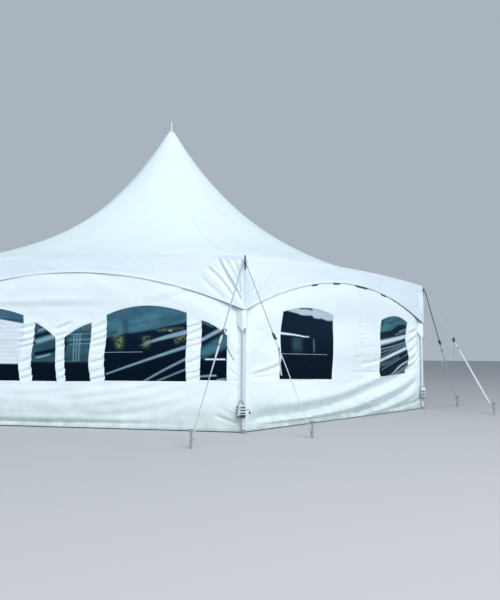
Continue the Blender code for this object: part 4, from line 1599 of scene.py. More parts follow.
@dataclass
class RoofCanopy:
    """The membrane: six gores drawn up to the mast, with welded hips and an edge bead."""

    plan: Plan
    rings: int = 46
    spans: int = 36
    cloth: float = 0.0016

    def surface(self, share: Array, across: Array) -> Array:
        """Points of the membrane with its small pulls, in a side's own frame.

        Args:
            share: Shares of the way from the edge to the peak.
            across: Places along the side, from -1 to 1.

        Returns:
            An array with x, y and z on its last axis.
        """
        points = self.plan.roof(share, across)
        near_hip = 1 - np.abs(across)
        pulls = np.sin(near_hip * 70 / (0.25 + share)) * np.exp(-share / 0.06) * np.exp(-near_hip / 0.1)
        points[..., 2] += 0.0035 * pulls * smooth(share / 0.01)
        slack = np.sin(across * 9 + share * 17) * np.sin(share * 23 + across * 2)
        points[..., 2] += 0.004 * slack * smooth(share / 0.08) * smooth((1 - share) / 0.3) * (1 - across**2)
        return points

    def shares(self) -> Array:
        """Shares of the way up at which it has a ring of points, closer near its edge and peak."""
        even = np.linspace(0, 1, self.rings)
        return even * 0.75 + 0.25 * (1 - np.cos(even * pi)) / 2

    def body(self) -> Mesh:
        """The whole membrane as one sheet with a hole for the mast.

        Returns:
            The mesh.
        """
        across = np.linspace(-1, 1, self.spans + 1)[:-1]
        share, along = np.meshgrid(self.shares(), across, indexing="ij")
        own = self.surface(share, along)
        points = np.concatenate([side.turned(own) for side in Side], axis=1)
        faces = quads(points.shape[:2], closed=True)
        return sheet_mesh("roof_cloth", points.reshape(-1, 3), faces, ROOF_FABRIC, self.cloth)

    def seam(self, piece: Piece, across: float, low: float, high: float, width: float, proud: float) -> None:
        """A welded band that runs up every gore.

        Args:
            piece: The piece that it joins.
            across: Its place in the gore, from -1 to 1.
            low: Share of the way up at which it starts.
            high: Share at which it ends.
            width: Its whole width.
            proud: How far it stands off the cloth.
        """
        shares = np.linspace(low, high, 40)
        for side in Side:
            middle = side.turned(self.surface(shares, np.full(len(shares), across)))
            flat = np.cross(np.array((0, 0, 1)), middle)
            if across > -1:
                flat = side.turned(self.surface(shares, np.full(len(shares), across - 0.01))) - middle
            flat /= np.linalg.norm(flat, axis=1)[:, None]
            up = np.cross(np.gradient(middle, axis=0), flat)
            up /= np.linalg.norm(up, axis=1)[:, None]
            up *= np.sign(up[:, 2])[:, None]
            taper = np.minimum(1, 0.35 + (1 - shares) * 3)[:, None] * width / 2
            loops = [middle - flat * taper - up * 0.001, middle - flat * taper * 0.8 + up * proud,
                     middle + flat * taper * 0.8 + up * proud, middle + flat * taper - up * 0.001]
            piece.loft(np.stack(loops, axis=1).tolist(), ROOF_FABRIC)

    def trims(self) -> Mesh:
        """Hip seams, panel seams, the bead along the edge and the collar at the peak.

        Returns:
            The mesh.
        """
        piece = Piece()
        self.seam(piece, -1, 0.002, 0.995, 0.055, 0.0015)
        for across in (-0.34, 0.34):
            self.seam(piece, across, 0.004, 0.9, 0.03, 0.0005)
        for share, count, thick in ((0.0007, 24, 0.0042), (0.945, 12, 0.0045), (0.985, 12, 0.006)):
            places = np.linspace(-1, 1, count + 1)[:-1]
            edge = self.plan.roof(np.full(count, share), places) - (0, 0, 0.001)
            ring = [point for side in Side for point in side.turned(edge).tolist()]
            piece.tube(ring, thick, ROOF_FABRIC, 8, closed=True)
        return piece.mesh("roof_trims")

    def build(self) -> None:
        """Stretch the membrane over the mast and legs."""
        roof = put("roof_membrane", self.body(), HOME, ["roof_canopy"])
        trim = put("roof_trims", self.trims(), HOME)
        middle = self.surface(np.linspace(0, 1, 200), np.zeros(200))
        gore = 2 * self.plan.half_length(self.plan.edge_out)


@dataclass
class Valance:
    """The arched band that hangs from the roof's edge, with a hem whose black cord may show in dashes."""

    plan: Plan
    dashed: bool
    foot: float = 1.68
    foot_flat: float = 0.02
    cloth: float = 0.0016
    rows: int = 34
    end_gap: float = 0.0008

    def __post_init__(self) -> None:
        """Take the valance's plane and ends from the plan."""
        self.out = -(self.plan.apothem + self.plan.edge_out) + 0.0005
        self.end = self.plan.half_length(self.plan.edge_out) - self.end_gap
        self.folds = [*self.fan(-1, 31, 0.6 if self.dashed else 0.9), *self.clips()]
        self.folds += self.fan(1, 37, 0.8) if self.dashed else self.pulled()

    def fan(self, way: float, seed: int, strength: float) -> list[Fold]:
        """Fine pleats that spread from the foot at a leg to the roof's edge.

        Args:
            way: -1 for the left leg of the side, 1 for the right one.
            seed: Seed of their uneven spread.
            strength: How deep they are, where 1 is deep.

        Returns:
            The folds.
        """
        draw = random.Random(seed)
        folds = []
        reach = 0.03
        while reach < 0.58:
            deep = strength * draw.uniform(0.6, 1.2)
            wide = 0.013 + 0.012 * reach
            low = (self.end - 0.02 - 0.28 * reach, self.foot + 0.1 + 0.25 * reach)
            high = (self.end - reach, self.plan.eave - 0.03)
            middle = (self.end - 0.62 * reach - 0.01, self.foot + 0.42)
            for shift, rise in ((0, -0.016), (wide * 1.9, 0.012)):
                spots = ((*low, 0.6), (*middle, 1), (*high, 1.2))
                path = tuple((way * (x - shift * part), z) for x, z, part in spots)
                folds.append(Fold(path, rise * deep, wide * 0.7, wide * 1.1, (0.25, 0.35)))
            reach += draw.uniform(0.05, 0.085)
        return folds

    def pulled(self) -> list[Fold]:
        """The strong pulls at the right-hand leg of the longer-windowed side.

        Returns:
            The folds.
        """
        draw = random.Random(43)
        lines = (
            (0.35, 2.03, 2.18, 2.18, 2.03, 2.37, 1.865), (0.9, 2.12, 2.31, 2.325, 2.12, 2.53, 1.85),
            (1.35, 2.27, 2.43, 2.42, 2.17, 2.54, 1.98, 2.635, 1.8),
            (0.5, 2.21, 2.35, 2.445, 2.075, 2.57, 1.86), (0.5, 2.38, 2.42, 2.53, 2.17, 2.63, 1.9),
            (0.55, 2.5, 2.42, 2.59, 2.18, 2.6, 1.9), (0.6, 2.6, 2.42, 2.652, 2.2, 2.656, 1.72),
        )
        folds = ridges(((-0.026 * deep, 0.016, 0.011, *line) for deep, *line in lines), (0.14, 0.06), 2.6)
        folds += ridges((-0.01, 0.009, 0.006, x, 2.43, x + 0.035, 2.43 - draw.uniform(0.06, 0.12))
                        for x in np.arange(2.28, 2.62, 0.03))
        return folds

    def clips(self) -> list[Fold]:
        """Short slanting pulls near the middle.

        Returns:
            The folds.
        """
        return ridges((-0.006, 0.016, *line) for line in (
            (-0.47, 2.355, -0.25, 2.237), (-0.39, 2.365, -0.19, 2.248), (0.72, 2.318, 0.9, 2.41),
            (1, 2.335, 1.19, 2.432)))

    def bottom(self, x: Array) -> Array:
        """The hem's line: an arch with its foot rounded off at the legs.

        Args:
            x: Places along the side.

        Returns:
            The hem's height at each place.
        """
        across = np.abs(x) / self.end
        crown = self.plan.valance_arch
        arch = crown - (crown - self.foot) * across**2
        blend = np.sqrt((arch - self.foot) ** 2 + self.foot_flat**2)
        return self.foot + (arch - self.foot + blend) / 2

    def lift(self, spots: Array) -> Array:
        """How far the valance stands outside its plane.

        Args:
            spots: Spots on the side, one a row.

        Returns:
            The distance at each spot.
        """
        x, z = spots.T
        total = Ripples(61, 0.01, 0.2, 1.1).heights(spots) + sum(fold.heights(spots) for fold in self.folds)
        top = self.plan.eave + self.plan.bow(x / self.end)
        total *= smooth((top - z) / 0.05) * smooth((self.end - np.abs(x)) / 0.03)
        return np.clip(total, -0.034, 0.03)

    def points(self, spots: Array, proud: float = 0) -> Array:
        """Points of the valance in the side's own frame, this far outside its face."""
        return beside(spots[:, 0], self.out - self.lift(spots) - proud, spots[:, 1])

    def columns(self) -> Array:
        """Places along the side at which it has a column of points, close near the legs."""
        return graded(-self.end, self.end, 0.04, 0.013, [(-self.end, 1 - self.end), (self.end - 1, self.end)])

    def body(self) -> Mesh:
        """The cloth.

        Returns:
            The mesh.
        """
        x = self.columns()
        top = self.plan.eave + self.plan.bow(x / self.end) - 0.001
        share = np.linspace(0, 1, self.rows)[:, None]
        z = self.bottom(x)[None, :] * (1 - share) + top[None, :] * share
        spots = beside(np.broadcast_to(x, z.shape), z)
        points = self.points(spots.reshape(-1, 2))
        return sheet_mesh("valance_cloth", points, quads(z.shape), VALANCE_FABRIC, self.cloth)

    def showing(self, x: Array) -> Array:
        """How far the black cord shows below the hem.

        Args:
            x: Places along the side.

        Returns:
            The distance at each place.
        """
        if not self.dashed:
            wander = 0.001 * np.sin(x * 6) * np.sin(x * 1.7 + 0.4)
            return 0.0015 + wander + 0.005 * smooth(np.abs(x) - 1.4)
        shown = np.full(len(x), -0.006)
        for start, end in ((-1.09, -0.94), (-0.5, -0.31), (0.18, 0.56), (1.03, 1.2)):
            dash = smooth((x - start) / 0.04 + 0.5) * smooth((end - x) / 0.04 + 0.5)
            shown = np.maximum(shown, 0.017 * dash)
        return np.maximum(shown, 0.006 * smooth((x - 1.25) / 0.2))

    def trims(self) -> Mesh:
        """The hem band, its stitching and the black cord behind it.

        Returns:
            The mesh.
        """
        piece = Piece()
        x = self.columns()[1:-1]
        low = self.bottom(x)
        band = ((-0.003, -0.0004), (-0.001, 0.0022), (0.038, 0.002), (0.041, -0.0004))
        stitch = ((0.03, 0.001), (0.0306, 0.0024), (0.0318, 0.0024), (0.0324, 0.001))
        for profile, finish in ((band, VALANCE_FABRIC), (stitch, SHADE_AND_STITCHING)):
            loops = [self.points(beside(x, low + up), proud) for up, proud in profile]
            piece.loft(np.stack(loops, axis=1).tolist(), finish)
        shown = self.showing(x)
        cord = self.points(beside(x, low + 0.0025 - shown), -0.0085)
        piece.tube(cord, 0.006 + 0.5 * np.maximum(0, shown - 0.002), ROPE, 8)
        return piece.mesh("valance_trims")

    def build(self, sides: Iterable[Side]) -> None:
        """Hang the valance on each side of this kind.

        Args:
            sides: The sides to hang it on.
        """
        cloth, trims = self.body(), self.trims()
        x = self.columns()
        drop = self.plan.eave + self.plan.bow(x / self.end) - self.bottom(x)
        for side in sides:
            place = side.place()
            piece = put(f"valance_cloth_{side.label}", cloth, place, [f"valance_{side.label}"])
            trim = put(f"valance_hem_{side.label}", trims, place)


@dataclass
class Leg:
    """A telescopic leg with its foot, head lug and the cloth sleeve tied round it."""

    plan: Plan
    outer: float = 0.0272
    inner: float = 0.0262
    foot_radius: float = 0.0375
    foot_height: float = 0.05
    tube_foot: float = 0.4275
    tube_top: float = 2.4
    lug_low: float = 2.335
    lug_high: float = 2.395
    lug_reach: float = 0.095
    lug_aside: float = -0.012
    pin_half: float = 0.036
    sleeve_low: float = 1.4
    sleeve_high: float = 1.86
    side_slope: float = 0.577

    def body(self) -> Mesh:
        """The tubes, foot, head and lug.

        Returns:
            The mesh.
        """
        piece = Piece()
        foot, neck = self.foot_radius, self.foot_height
        piece.turned(((foot - 0.003, 0), (foot, 0.003), (foot, 0.016), (foot - 0.002, 0.018), (0.031, 0.021),
                      (0.031, neck - 0.003), (0.028, neck)), ZINC, sides=32)
        piece.rod(self.inner, neck - 0.01, self.tube_foot + 0.02, TUBE, sides=32)
        for height in (0.1, 0.15):
            piece.rod(0.0052, -self.inner - 0.0012, self.inner + 0.0012, STEEL,
                      move(0, 0, height) @ turn(90, "X"), 14, 0.0005)
        piece.rod(self.outer, self.tube_foot, self.tube_top, TUBE, sides=36, edge=0.002)
        piece.rod(self.outer + 0.003, self.tube_foot + 0.012, self.tube_foot + 0.036, TUBE, sides=36)
        piece.turned(((0.026, self.tube_top - 0.001), (0.024, self.tube_top + 0.004),
                      (0.0105, self.tube_top + 0.006), (0.01, 2.418)), ZINC)
        low, high, reach = self.lug_low, self.lug_high, self.lug_reach
        nose = (high - low) / 2
        outline = [(0, low), *((reach - nose + nose * cos(a), low + nose + nose * sin(a))
                                 for a in np.radians(np.linspace(-90, 90, 9))), (0, high)]
        aside = move(self.lug_aside, 0, 0)
        piece.plate(outline, 0.008, STEEL, aside @ turn(-90, "Z") @ turn(90, "X"), 0.0012)
        pin = aside @ move(0, -self.plan.pin_out, (low + high) / 2) @ turn(90, "Y")
        piece.rod(0.007, -self.pin_half, self.pin_half, ZINC, pin)
        for way in (-1, 1):
            end = way * (self.pin_half - 0.003)
            piece.rod(0.011, end - 0.001, end + 0.001, ZINC, pin, edge=0.0004)
        ring = [(0.011 * cos(a), -0.0465, self.sleeve_low + 0.036 * sin(a)) for a in circle(28)]
        piece.tube(ring, 0.0032, STEEL, 8, closed=True)
        strap = ((-0.045, 2.447), (-0.0535, 2.44), (-0.0565, 2.42), (-0.0565, 2.34), (-0.0565, 2.25))
        piece.strap([(0, *spot) for spot in strap], (1, 0, 0), 0.02, 0.004, RUBBER)
        return piece.mesh("leg")

    def sleeve(self) -> Mesh:
        """The gathered cloth that closes over the leg between the walls, drawn in at the ring.

        Returns:
            The mesh.
        """
        heights = np.linspace(self.sleeve_low, self.sleeve_high, 30)
        half = np.interp(heights, (self.sleeve_low, 1.45, 1.6, 1.74, self.sleeve_high),
                         (0.034, 0.058, 0.12, 0.16, 0.17))
        share, wide = np.meshgrid(np.linspace(-1, 1, 71), half)
        radius = 0.02
        x = share * wide
        tucked = self.side_slope * (np.hypot(x, radius) - radius)
        tucked += 0.071 * smooth((np.abs(x) - 0.018) / 0.075)
        pleats = 0.5 + 0.5 * np.sin(share * 31 + 1.1 * np.sin(share * 9) + heights[:, None] * 2)
        pleats *= smooth((1 - np.abs(share)) / 0.25) * np.minimum(1, 0.35 + wide / 0.12)
        y = -0.034 + tucked - 0.0035 * pleats
        points = beside(x, y, np.broadcast_to(heights[:, None], x.shape)).reshape(-1, 3)
        return sheet_mesh("leg_sleeve", points, quads(x.shape), WALL_FABRIC, 0.0012)

    def build(self) -> None:
        """Stand a leg with its sleeve at each corner."""
        body, sleeve = self.body(), self.sleeve()
        for corner in Corner:
            place = corner.place(self.plan.corner_radius)
            leg = put(f"leg_tube_{corner.label}", body, place, [f"leg_{corner.label}"])
            cloth = put(f"leg_sleeve_{corner.label}", sleeve, place)


@dataclass
class LegJack:
    """The jack clamped to a leg's left side: a ribbed casting with a crank and knob on its right."""

    plan: Plan
    low: float = 0.207
    high: float = 0.427
    inward: float = 0.033
    outward: float = 0.052
    crank_height: float = 0.318

    def body(self) -> Mesh:
        """The casting, its grip bars, base band, bolts and crank.

        Returns:
            The mesh.
        """
        piece = Piece()
        low = self.low
        outline = [(-0.098, low + 0.024), (0.008, low + 0.024), (0.012, low + 0.06), (0.012, low + 0.15),
                   (0.003, low + 0.172), (-0.022, low + 0.188), (-0.047, low + 0.216), (-0.058, low + 0.218),
                   (-0.07, low + 0.19), (-0.086, low + 0.14), (-0.097, low + 0.085)]
        depth = self.outward + self.inward
        middle = (self.inward - self.outward) / 2
        piece.plate(outline, depth, JACK_PAINT, move(0, middle, 0) @ turn(90, "X"), 0.006)
        for height, tall in ((0.066, 0.022), (0.105, 0.02), (0.144, 0.022)):
            piece.block((0.074, depth + 0.014, tall), RUBBER, move(-0.026, middle, low + height), 0.003)
            edge = move(0.16 * height - 0.1085, middle, low + height)
            piece.block((0.012, 0.07, tall), RUBBER, edge, 0.002)
        top = move(-0.032, middle, low + 0.203) @ turn(44, "Y")
        piece.block((0.06, depth + 0.012, 0.016), RUBBER, top, 0.003)
        piece.block((0.1, depth + 0.016, 0.048), RUBBER, move(-0.036, middle, low + 0.024), 0.004)
        for x, z in ((-0.08, 0.08), (-0.074, 0.125)):
            piece.rod(0.0075, 0, 0.004, ZINC, move(x, -self.outward, low + z) @ turn(90, "X"), 6)
        piece.rod(0.0315, self.high - 0.04, self.high, TUBE, sides=32)
        y, z = -0.03, self.crank_height
        shaft = move(0, y, z) @ turn(90, "Y")
        piece.rod(0.0065, 0.01, 0.07, ZINC, shaft, 14)
        piece.rod(0.0115, 0.03, 0.04, ZINC, shaft, 18, 0.0015)
        arm = curve_through(((0.066, y, z), (0.077, y, z - 0.006), (0.08, y, z - 0.03)), 5)
        piece.tube(arm, 0.0045, ZINC, 10)
        piece.turned(((0.007, -0.024), (0.0115, -0.02), (0.0125, -0.01), (0.0115, 0.002), (0.006, 0.005)),
                     RUBBER, move(0.08, y, z - 0.036), 18)
        return piece.mesh("leg_jack")

    def build(self) -> None:
        """Fit a jack to each leg."""
        body = self.body()
        for corner in Corner:
            put(f"jack_{corner.label}", body, corner.place(self.plan.corner_radius),
                [f"leg_jack_{corner.label}"])


@dataclass
class Guy:
    """A ratchet guy from the leg's head to its stake."""

    plan: Plan
    hand: Hand
    pin_height: float = 2.365
    upper_width: float = 0.021
    lower_width: float = 0.031
    web: float = 0.0022
    hardware: float = 0.66

    def __post_init__(self) -> None:
        """Find the guy's ends from its packed stake, and the places of its hardware."""
        low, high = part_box(f"stake_right_{self.hand.label}")
        middle = (low + high) / 2
        self.stake = Vector((middle.y, self.plan.corner_radius - middle.x, 0))
        self.piece = Piece()
        self.left = self.hand is Hand.LEFT
        self.hook_height = 0.08 if self.left else 0.03
        self.ratchet_at = 1.212 if self.left else 1.135
        self.head = Vector((-0.0333 if self.left else -0.013, -self.plan.pin_out, self.pin_height))
        foot = self.stake + Vector((0, 0, self.hook_height))
        self.along = (foot - self.head).normalized()
        self.length = (foot - self.head).length
        self.wide = self.along.cross(Vector((0, 0, 1))).normalized()
        self.face = self.wide.cross(self.along).normalized()

    def at(self, distance: float, up: float = 0, aside: float = 0) -> Vector:
        """A point this far down the guy, above its face and to one side."""
        return self.head + self.along * distance + self.face * up + self.wide * aside

    def axes(self, distance: float) -> Matrix:
        """A frame on the guy, with X across it, Y down its length and Z out of its face."""
        turned = Matrix((self.wide, self.along, self.face)).transposed().to_4x4()
        return Matrix.Translation(self.at(distance)) @ turned

    def bight(self, centre: Vector, radius: float, way: float) -> list[Vector]:
        """Half a turn of strap round a bar, above the bar when way is 1."""
        angles = np.radians(np.arange(0, 181, 22.5)).tolist()
        return [centre + (self.face * cos(a) - self.along * way * sin(a)) * radius for a in angles]

    def body(self) -> Mesh:
        """The straps, ratchet, buckle, hook and loose tail.

        Returns:
            The mesh.
        """
        for add in (self.upper_strap, self.ratchet, self.lower_strap, self.buckle, self.hook, self.tail):
            add()
        return self.piece.mesh("guy")

    def upper_strap(self) -> None:
        """The thin strap, looped round the cross pin and sewn back on itself."""
        finish = GREY_WEB if self.left else DARK_WEB
        loop = [self.at(0.05, 0.003), *self.bight(self.head, 0.0095, 1), self.at(0.05, -0.003),
                self.at(0.12, -0.0016)]
        run = [self.at(d, 0.0012, 0.0015 * sin(d * 9))
               for d in np.linspace(0.045, self.ratchet_at - 0.01, 24)]
        for line in (loop, run):
            self.piece.strap(line, self.wide, self.upper_width, self.web, finish)
        for d in (0.058, 0.082, 0.106):
            stitch = [self.at(d, 0.0026, -0.007), self.at(d + 0.004, 0.0026, 0.007)]
            self.piece.strap(stitch, self.along, 0.0018, 0.001, SHADE_AND_STITCHING)

    def ratchet(self) -> None:
        """Side plates, toothed wheels, a spool with wound strap, a pawl and the handle with its grip.

        The left guy's ratchet lies on its side with the handle swung open.
        """
        roll, lifted = (-90, 140) if self.left else (0, 14)
        base = self.axes(self.ratchet_at) @ turn(roll, "Y") @ Matrix.Scale(self.hardware, 4)
        spool = base @ move(0, -0.012, 0.004)
        handle = spool @ turn(lifted, "X")
        across = turn(90, "Y")
        cheek = [(-0.08, -0.01), (-0.07, -0.015), (0.06, -0.015), (0.078, -0.008), (0.08, 0.004),
                 (0.05, 0.01), (0.01, 0.021), (-0.03, 0.021), (-0.072, 0.006)]
        arm = [(-0.01, -0.009), (0.094, -0.0065), (0.094, 0.0065), (-0.01, 0.009)]
        teeth = [(radius * cos(i * pi / 12), radius * sin(i * pi / 12))
                 for i, radius in enumerate((0.0205, 0.0168) * 12)]
        for way in (-1, 1):
            for place, outline, out, thick in ((base, cheek, 0.0285, 0.004), (spool, teeth, 0.0248, 0.003),
                                               (handle, arm, 0.0318, 0.0036)):
                at = place @ move(way * out, 0, 0) @ across @ turn(90, "Z")
                self.piece.plate(outline, thick, STEEL, at, 0.0005)
        for place, radius, half, finish in (
                (spool, 0.0062, 0.034, ZINC), (spool, 0.015, 0.016, DARK_WEB),
                (base @ move(0, 0.066, -0.004), 0.0058, 0.0335, ZINC),
                (handle @ move(0, 0.086, 0), 0.0088, 0.031, RUBBER)):
            self.piece.rod(radius, -half, half, finish, place @ across, 18)
        self.piece.block((0.046, 0.03, 0.003), STEEL, base @ move(0, 0.022, 0.01) @ turn(-24, "X"), 0.0008)

    def lower_strap(self) -> None:
        """The broad strap from the ratchet through the buckle to the hook, doubled at its top."""
        start = self.ratchet_at + 0.03
        run = [self.at(d, 0.001 + 0.0012 * sin(d * 5), 0.002 * sin(d * 3.1))
               for d in np.linspace(start, self.length - 0.05, 30)]
        self.piece.strap(run, self.wide, self.lower_width, self.web, PALE_WEB, 38 if self.left else 0)
        under = [self.at(start + d, -0.002 - 0.0022 * sin(d * 16) ** 2)
                 for d in np.linspace(0, 0.3, 14)]
        self.piece.strap(under, self.wide, self.lower_width * 0.96, self.web, PALE_WEB)

    def buckle(self) -> None:
        """The three-bar slide below the ratchet."""
        at = self.axes(self.ratchet_at + 0.18)
        corners = ((0.017, -0.02), (0.02, -0.017), (0.02, 0.017), (0.017, 0.02))
        frame_line = [at @ Vector((way * x, way * y, 0.001)) for way in (1, -1) for x, y in corners]
        self.piece.tube(frame_line, 0.0038, STEEL, 8, closed=True)
        self.piece.rod(0.0042, -0.02, 0.02, STEEL, at @ move(0, 0, 0.0045) @ turn(90, "Y"), 10)

    def hook(self) -> None:
        """The bent steel hook round the stake and the strap's sewn loop on it."""
        foot = self.stake + Vector((0, 0, self.hook_height))
        level = Vector((-self.along.x, -self.along.y, 0)).normalized()
        side = level.cross(Vector((0, 0, 1)))
        bend = [foot + (level * cos(a) + side * sin(a)) * (self.plan.stake_radius + 0.0055)
                for a in np.radians(np.arange(50, 311, 20))]
        eye = self.at(self.length - 0.046)
        near, far = sorted((eye + self.wide * 0.016, eye - self.wide * 0.016),
                           key=lambda end: (bend[0] - end).length)
        route = curve_through([near, near.lerp(bend[0], 0.55), *bend, far.lerp(bend[-1], 0.55), far], 3)
        self.piece.tube(route, 0.004, ZINC, 10)
        self.piece.tube([eye + self.wide * 0.02, eye - self.wide * 0.02], 0.004, ZINC, 10)
        back = self.length - 0.16
        loop = [self.at(back, 0.0028), *self.bight(eye, 0.0068, -1), self.at(back, -0.0022)]
        self.piece.strap(loop, self.wide, self.lower_width * 0.84, self.web, PALE_WEB)

    def tail(self) -> None:
        """The loose end that hangs from the left guy's ratchet or the right guy's buckle."""
        dark = (0.01, DARK_WEB, ((0, 0), (0.05, -0.13), (0.1, -0.235), (0.155, -0.33)))
        white = (0.02, PALE_WEB, ((0, 0), (0.014, -0.1), (0.022, -0.23), (0.042, -0.35)))
        width, finish, path = dark if self.left else white
        start = self.at(self.ratchet_at + (0.02 if self.left else 0.185), -0.008)
        line = curve_through([start + Vector((x, -0.004, z)) for x, z in path], 6)
        self.piece.strap(line, (0.9, -0.4, 0), width, self.web, finish)

    def build(self) -> None:
        """Rig this guy at each corner."""
        body = self.body()
        for corner in Corner:
            name = f"{corner.label}_{self.hand.label}"
            put(f"strap_{name}", body, corner.place(self.plan.corner_radius), [f"guy_{name}"])


@dataclass
class Stake:
    """A driven steel stake with a hammered mushroom head."""

    plan: Plan
    height: float = 0.22
    head_radius: float = 0.044
    head_thickness: float = 0.016

    def body(self, seed: int) -> Mesh:
        """The shaft and head.

        Args:
            seed: Seed of the hammer's dents.

        Returns:
            The mesh.
        """
        piece = Piece()
        neck = self.height - self.head_thickness
        shaft = self.plan.stake_radius
        profile = [(shaft * 0.97, 0), (shaft, 0.004)]
        profile += [(shaft, z) for z in np.linspace(0.02, neck - 0.022, 9)]
        rim = self.head_radius
        profile += [(shaft + 0.004, neck - 0.014), (0.03, neck - 0.004), (rim - 0.002, neck + 0.001),
                    (rim, neck + 0.005), (rim - 0.004, neck + 0.01),
                    (0.03, self.height - 0.003), (0.016, self.height), (0.006, self.height)]
        piece.turned(profile, STAKE_IRON, sides=28)
        phase = random.Random(seed).uniform(0, tau)
        for vert in piece.bm.verts:
            angle = atan2(vert.co.y, vert.co.x) + phase
            share = max(0, hypot(vert.co.x, vert.co.y) / self.head_radius - 0.4)
            shrink = 1 - 0.03 * share * (1 + 0.5 * sin(angle * 3) + 0.3 * sin(angle * 7))
            vert.co.xy *= shrink
            vert.co.z -= 0.0016 * share * (1 + sin(angle * 2))
        return piece.mesh("stake")

    def build(self) -> None:
        """Drive a stake for each guy."""
        meshes = {hand: self.body(7 if hand is Hand.LEFT else 8) for hand in Hand}
        for corner in Corner:
            for hand in Hand:
                node = f"stake_{corner.label}_{hand.label}"
                low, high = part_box(node)
                middle = (low + high) / 2
                place = move(middle.x, middle.y, 0) @ turn(corner.value * 1.7, "Z")
                put(f"driven_{node}", meshes[hand], place, [node])


@dataclass
class Mast:
    """The centre pole on its base plate, and the crown at its head."""

    plan: Plan
    pole_radius: float = 0.051
    base: float = 0.32
    base_thickness: float = 0.012

    def pole(self) -> Mesh:
        """The pole, its base plate with gussets and anchor bolts, and its joint sleeves.

        Returns:
            The mesh.
        """
        piece = Piece()
        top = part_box("centre_pole")[1].z
        radius, floor = self.pole_radius, self.base_thickness
        piece.block((self.base, self.base, floor), ZINC, move(0, 0, floor / 2), 0.003)
        piece.rod(radius, floor - 0.002, top, TUBE, sides=40, edge=0.003)
        for low, high in ((floor - 0.001, 0.075), (2.85, 3.05), (top - 0.08, top - 0.01)):
            piece.rod(radius + 0.005, low, high, ZINC, sides=40, edge=0.003)
        root = radius - 0.004
        gusset = [(root, 0), (0.135, 0), (0.135, 0.01), (radius + 0.012, 0.095), (root, 0.095)]
        for quarter in range(4):
            at = turn(45 + 90 * quarter, "Z") @ move(0, 0, floor - 0.001) @ turn(90, "X")
            piece.plate(gusset, 0.007, ZINC, at, 0.0012)
            bolt = turn(90 * quarter, "Z") @ move(0.128, 0, 0.011)
            for size, low, high, sides in ((0.016, 0, 0.003, 20), (0.0115, 0.003, 0.012, 6),
                                           (0.006, 0.011, 0.022, 12)):
                piece.rod(size, low, high, STEEL, bolt, sides, 0.0005)
        return piece.mesh("centre_pole_tube")

    def crown(self) -> Mesh:
        """The flange under the membrane, the cap over it, its nuts and the spike.

        Returns:
            The mesh.
        """
        piece = Piece()
        low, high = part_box("mast_crown")
        peak = self.plan.peak
        piece.rod(0.11, low.z, low.z + 0.014, CROWN_PAINT, sides=48, edge=0.003)
        piece.rod(0.035, low.z + 0.013, peak + 0.002, CROWN_PAINT, sides=32)
        cap = ((0.083, peak + 0.0006), (0.085, peak + 0.003), (0.085, peak + 0.007), (0.018, peak + 0.05))
        piece.turned(cap, CROWN_PAINT, sides=48)
        piece.turned(((0.018, peak + 0.045), (0.018, peak + 0.058), (0.0155, peak + 0.062),
                      (0.0125, peak + 0.075), (0.0105, peak + 0.16), (0.0085, high.z - 0.014),
                      (0.009, high.z - 0.01), (0.0075, high.z - 0.003), (0.003, high.z)), CROWN_PAINT)
        for i in range(6):
            piece.rod(0.0075, -0.004, 0.007, CROWN_PAINT, turn(60 * i, "Z") @ move(0.062, 0, peak + 0.018), 6)
        return piece.mesh("mast_crown_head")

    def build(self) -> None:
        """Stand the pole and set the crown on it."""
        put("centre_mast", self.pole(), HOME, ["centre_pole"])
        put("mast_head", self.crown(), HOME, ["mast_crown"])


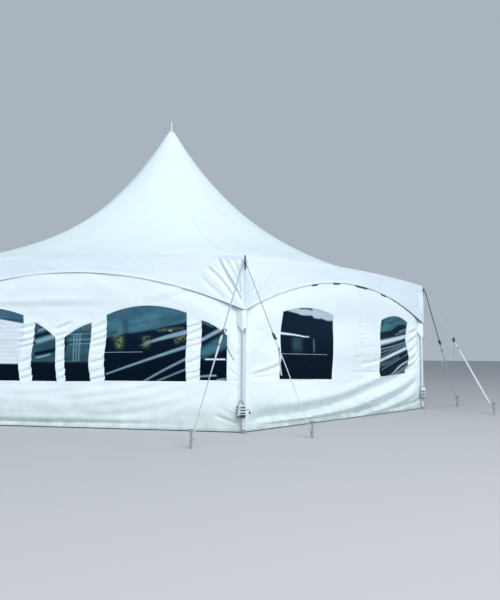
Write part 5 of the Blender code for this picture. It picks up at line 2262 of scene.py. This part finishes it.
@dataclass
class Studio:
    """The floor, the lights and the camera at the photograph's viewing angle."""

    floor_radius: float = 90
    eye: Color = (4.515, -13.271, 1.094)
    turned_left: float = 11.58
    tilted_up: float = 4.71
    lens: float = 38.45
    sensor: float = 36
    sky: Color = (0.66, 0.76, 0.86)
    sky_strength: float = 0.6
    roll: float = 0.21

    def floor(self) -> None:
        """A plain round floor."""
        bm = bmesh.new()
        bmesh.ops.create_circle(bm, cap_ends=True, segments=96, radius=self.floor_radius)
        mesh = bpy.data.meshes.new("studio_floor")
        bm.to_mesh(mesh)
        bm.free()
        mesh.materials.append(FLOOR_FINISH.material())
        made = link("studio_floor", mesh)
        made.location.z = -0.001

    def lamp(self, name: str, place: Color, size: float, power: float, color: Color) -> None:
        """A square soft light that faces the tent.

        Args:
            name: Its name.
            place: Where it hangs.
            size: Length of its sides.
            power: Its power in watts.
            color: Its colour.
        """
        data = bpy.data.lights.new(name, "AREA")
        data.shape = "SQUARE"
        data.size = size
        data.energy = power
        data.color = color
        made = link(name, data)
        made.location = place
        aim = Vector((0, 0, 2)) - Vector(place)
        made.rotation_euler = aim.to_track_quat("-Z", "Y").to_euler()

    def sky_light(self) -> None:
        """An even pale surround."""
        world = bpy.data.worlds.new("studio")
        world.use_nodes = True
        background = world.node_tree.nodes["Background"]
        background.inputs["Color"].default_value = (*self.sky, 1)
        background.inputs["Strength"].default_value = self.sky_strength
        bpy.context.scene.world = world

    def camera(self) -> None:
        """The camera where the photograph was taken."""
        data = bpy.data.cameras.new("view")
        data.sensor_fit = "VERTICAL"
        data.sensor_height = self.sensor
        data.lens = self.lens
        data.clip_end = 300
        made = link("view", data)
        made.matrix_world = (move(*self.eye) @ turn(self.turned_left, "Z") @ turn(90 + self.tilted_up, "X")
                             @ turn(self.roll, "Z"))
        bpy.context.scene.camera = made

    def build(self) -> None:
        """Set up the whole studio."""
        self.camera()
        self.floor()
        self.sky_light()
        self.lamp("key_light", (12, -17.8, 15), 18, 5300, (1, 0.99, 0.98))
        self.lamp("fill_light", (-14, -12, 9), 14, 300, (0.95, 0.98, 1))
        bpy.context.scene.view_settings.view_transform = "Standard"


def main() -> None:
    """Build the tent's sub-assemblies in order."""
    logging.basicConfig(level=logging.INFO, format="%(message)s")
    plan = Plan.from_frame()
    Studio().build()
    Mast(plan).build()
    RoofCanopy(plan).build()
    for lights, style, sample in ((Lights.THREE, front_style(), "sidewall_front"),
                                  (Lights.TWO, right_style(), "sidewall_back")):
        sides = [side for side in Side if side.lights is lights]
        SideWall(plan, style, sample).build(sides)
        Valance(plan, lights is Lights.TWO).build(sides)
    Leg(plan).build()
    LegJack(plan).build()
    for hand in Hand:
        Guy(plan, hand).build()
    Stake(plan).build()


if __name__ == "__main__":
    main()
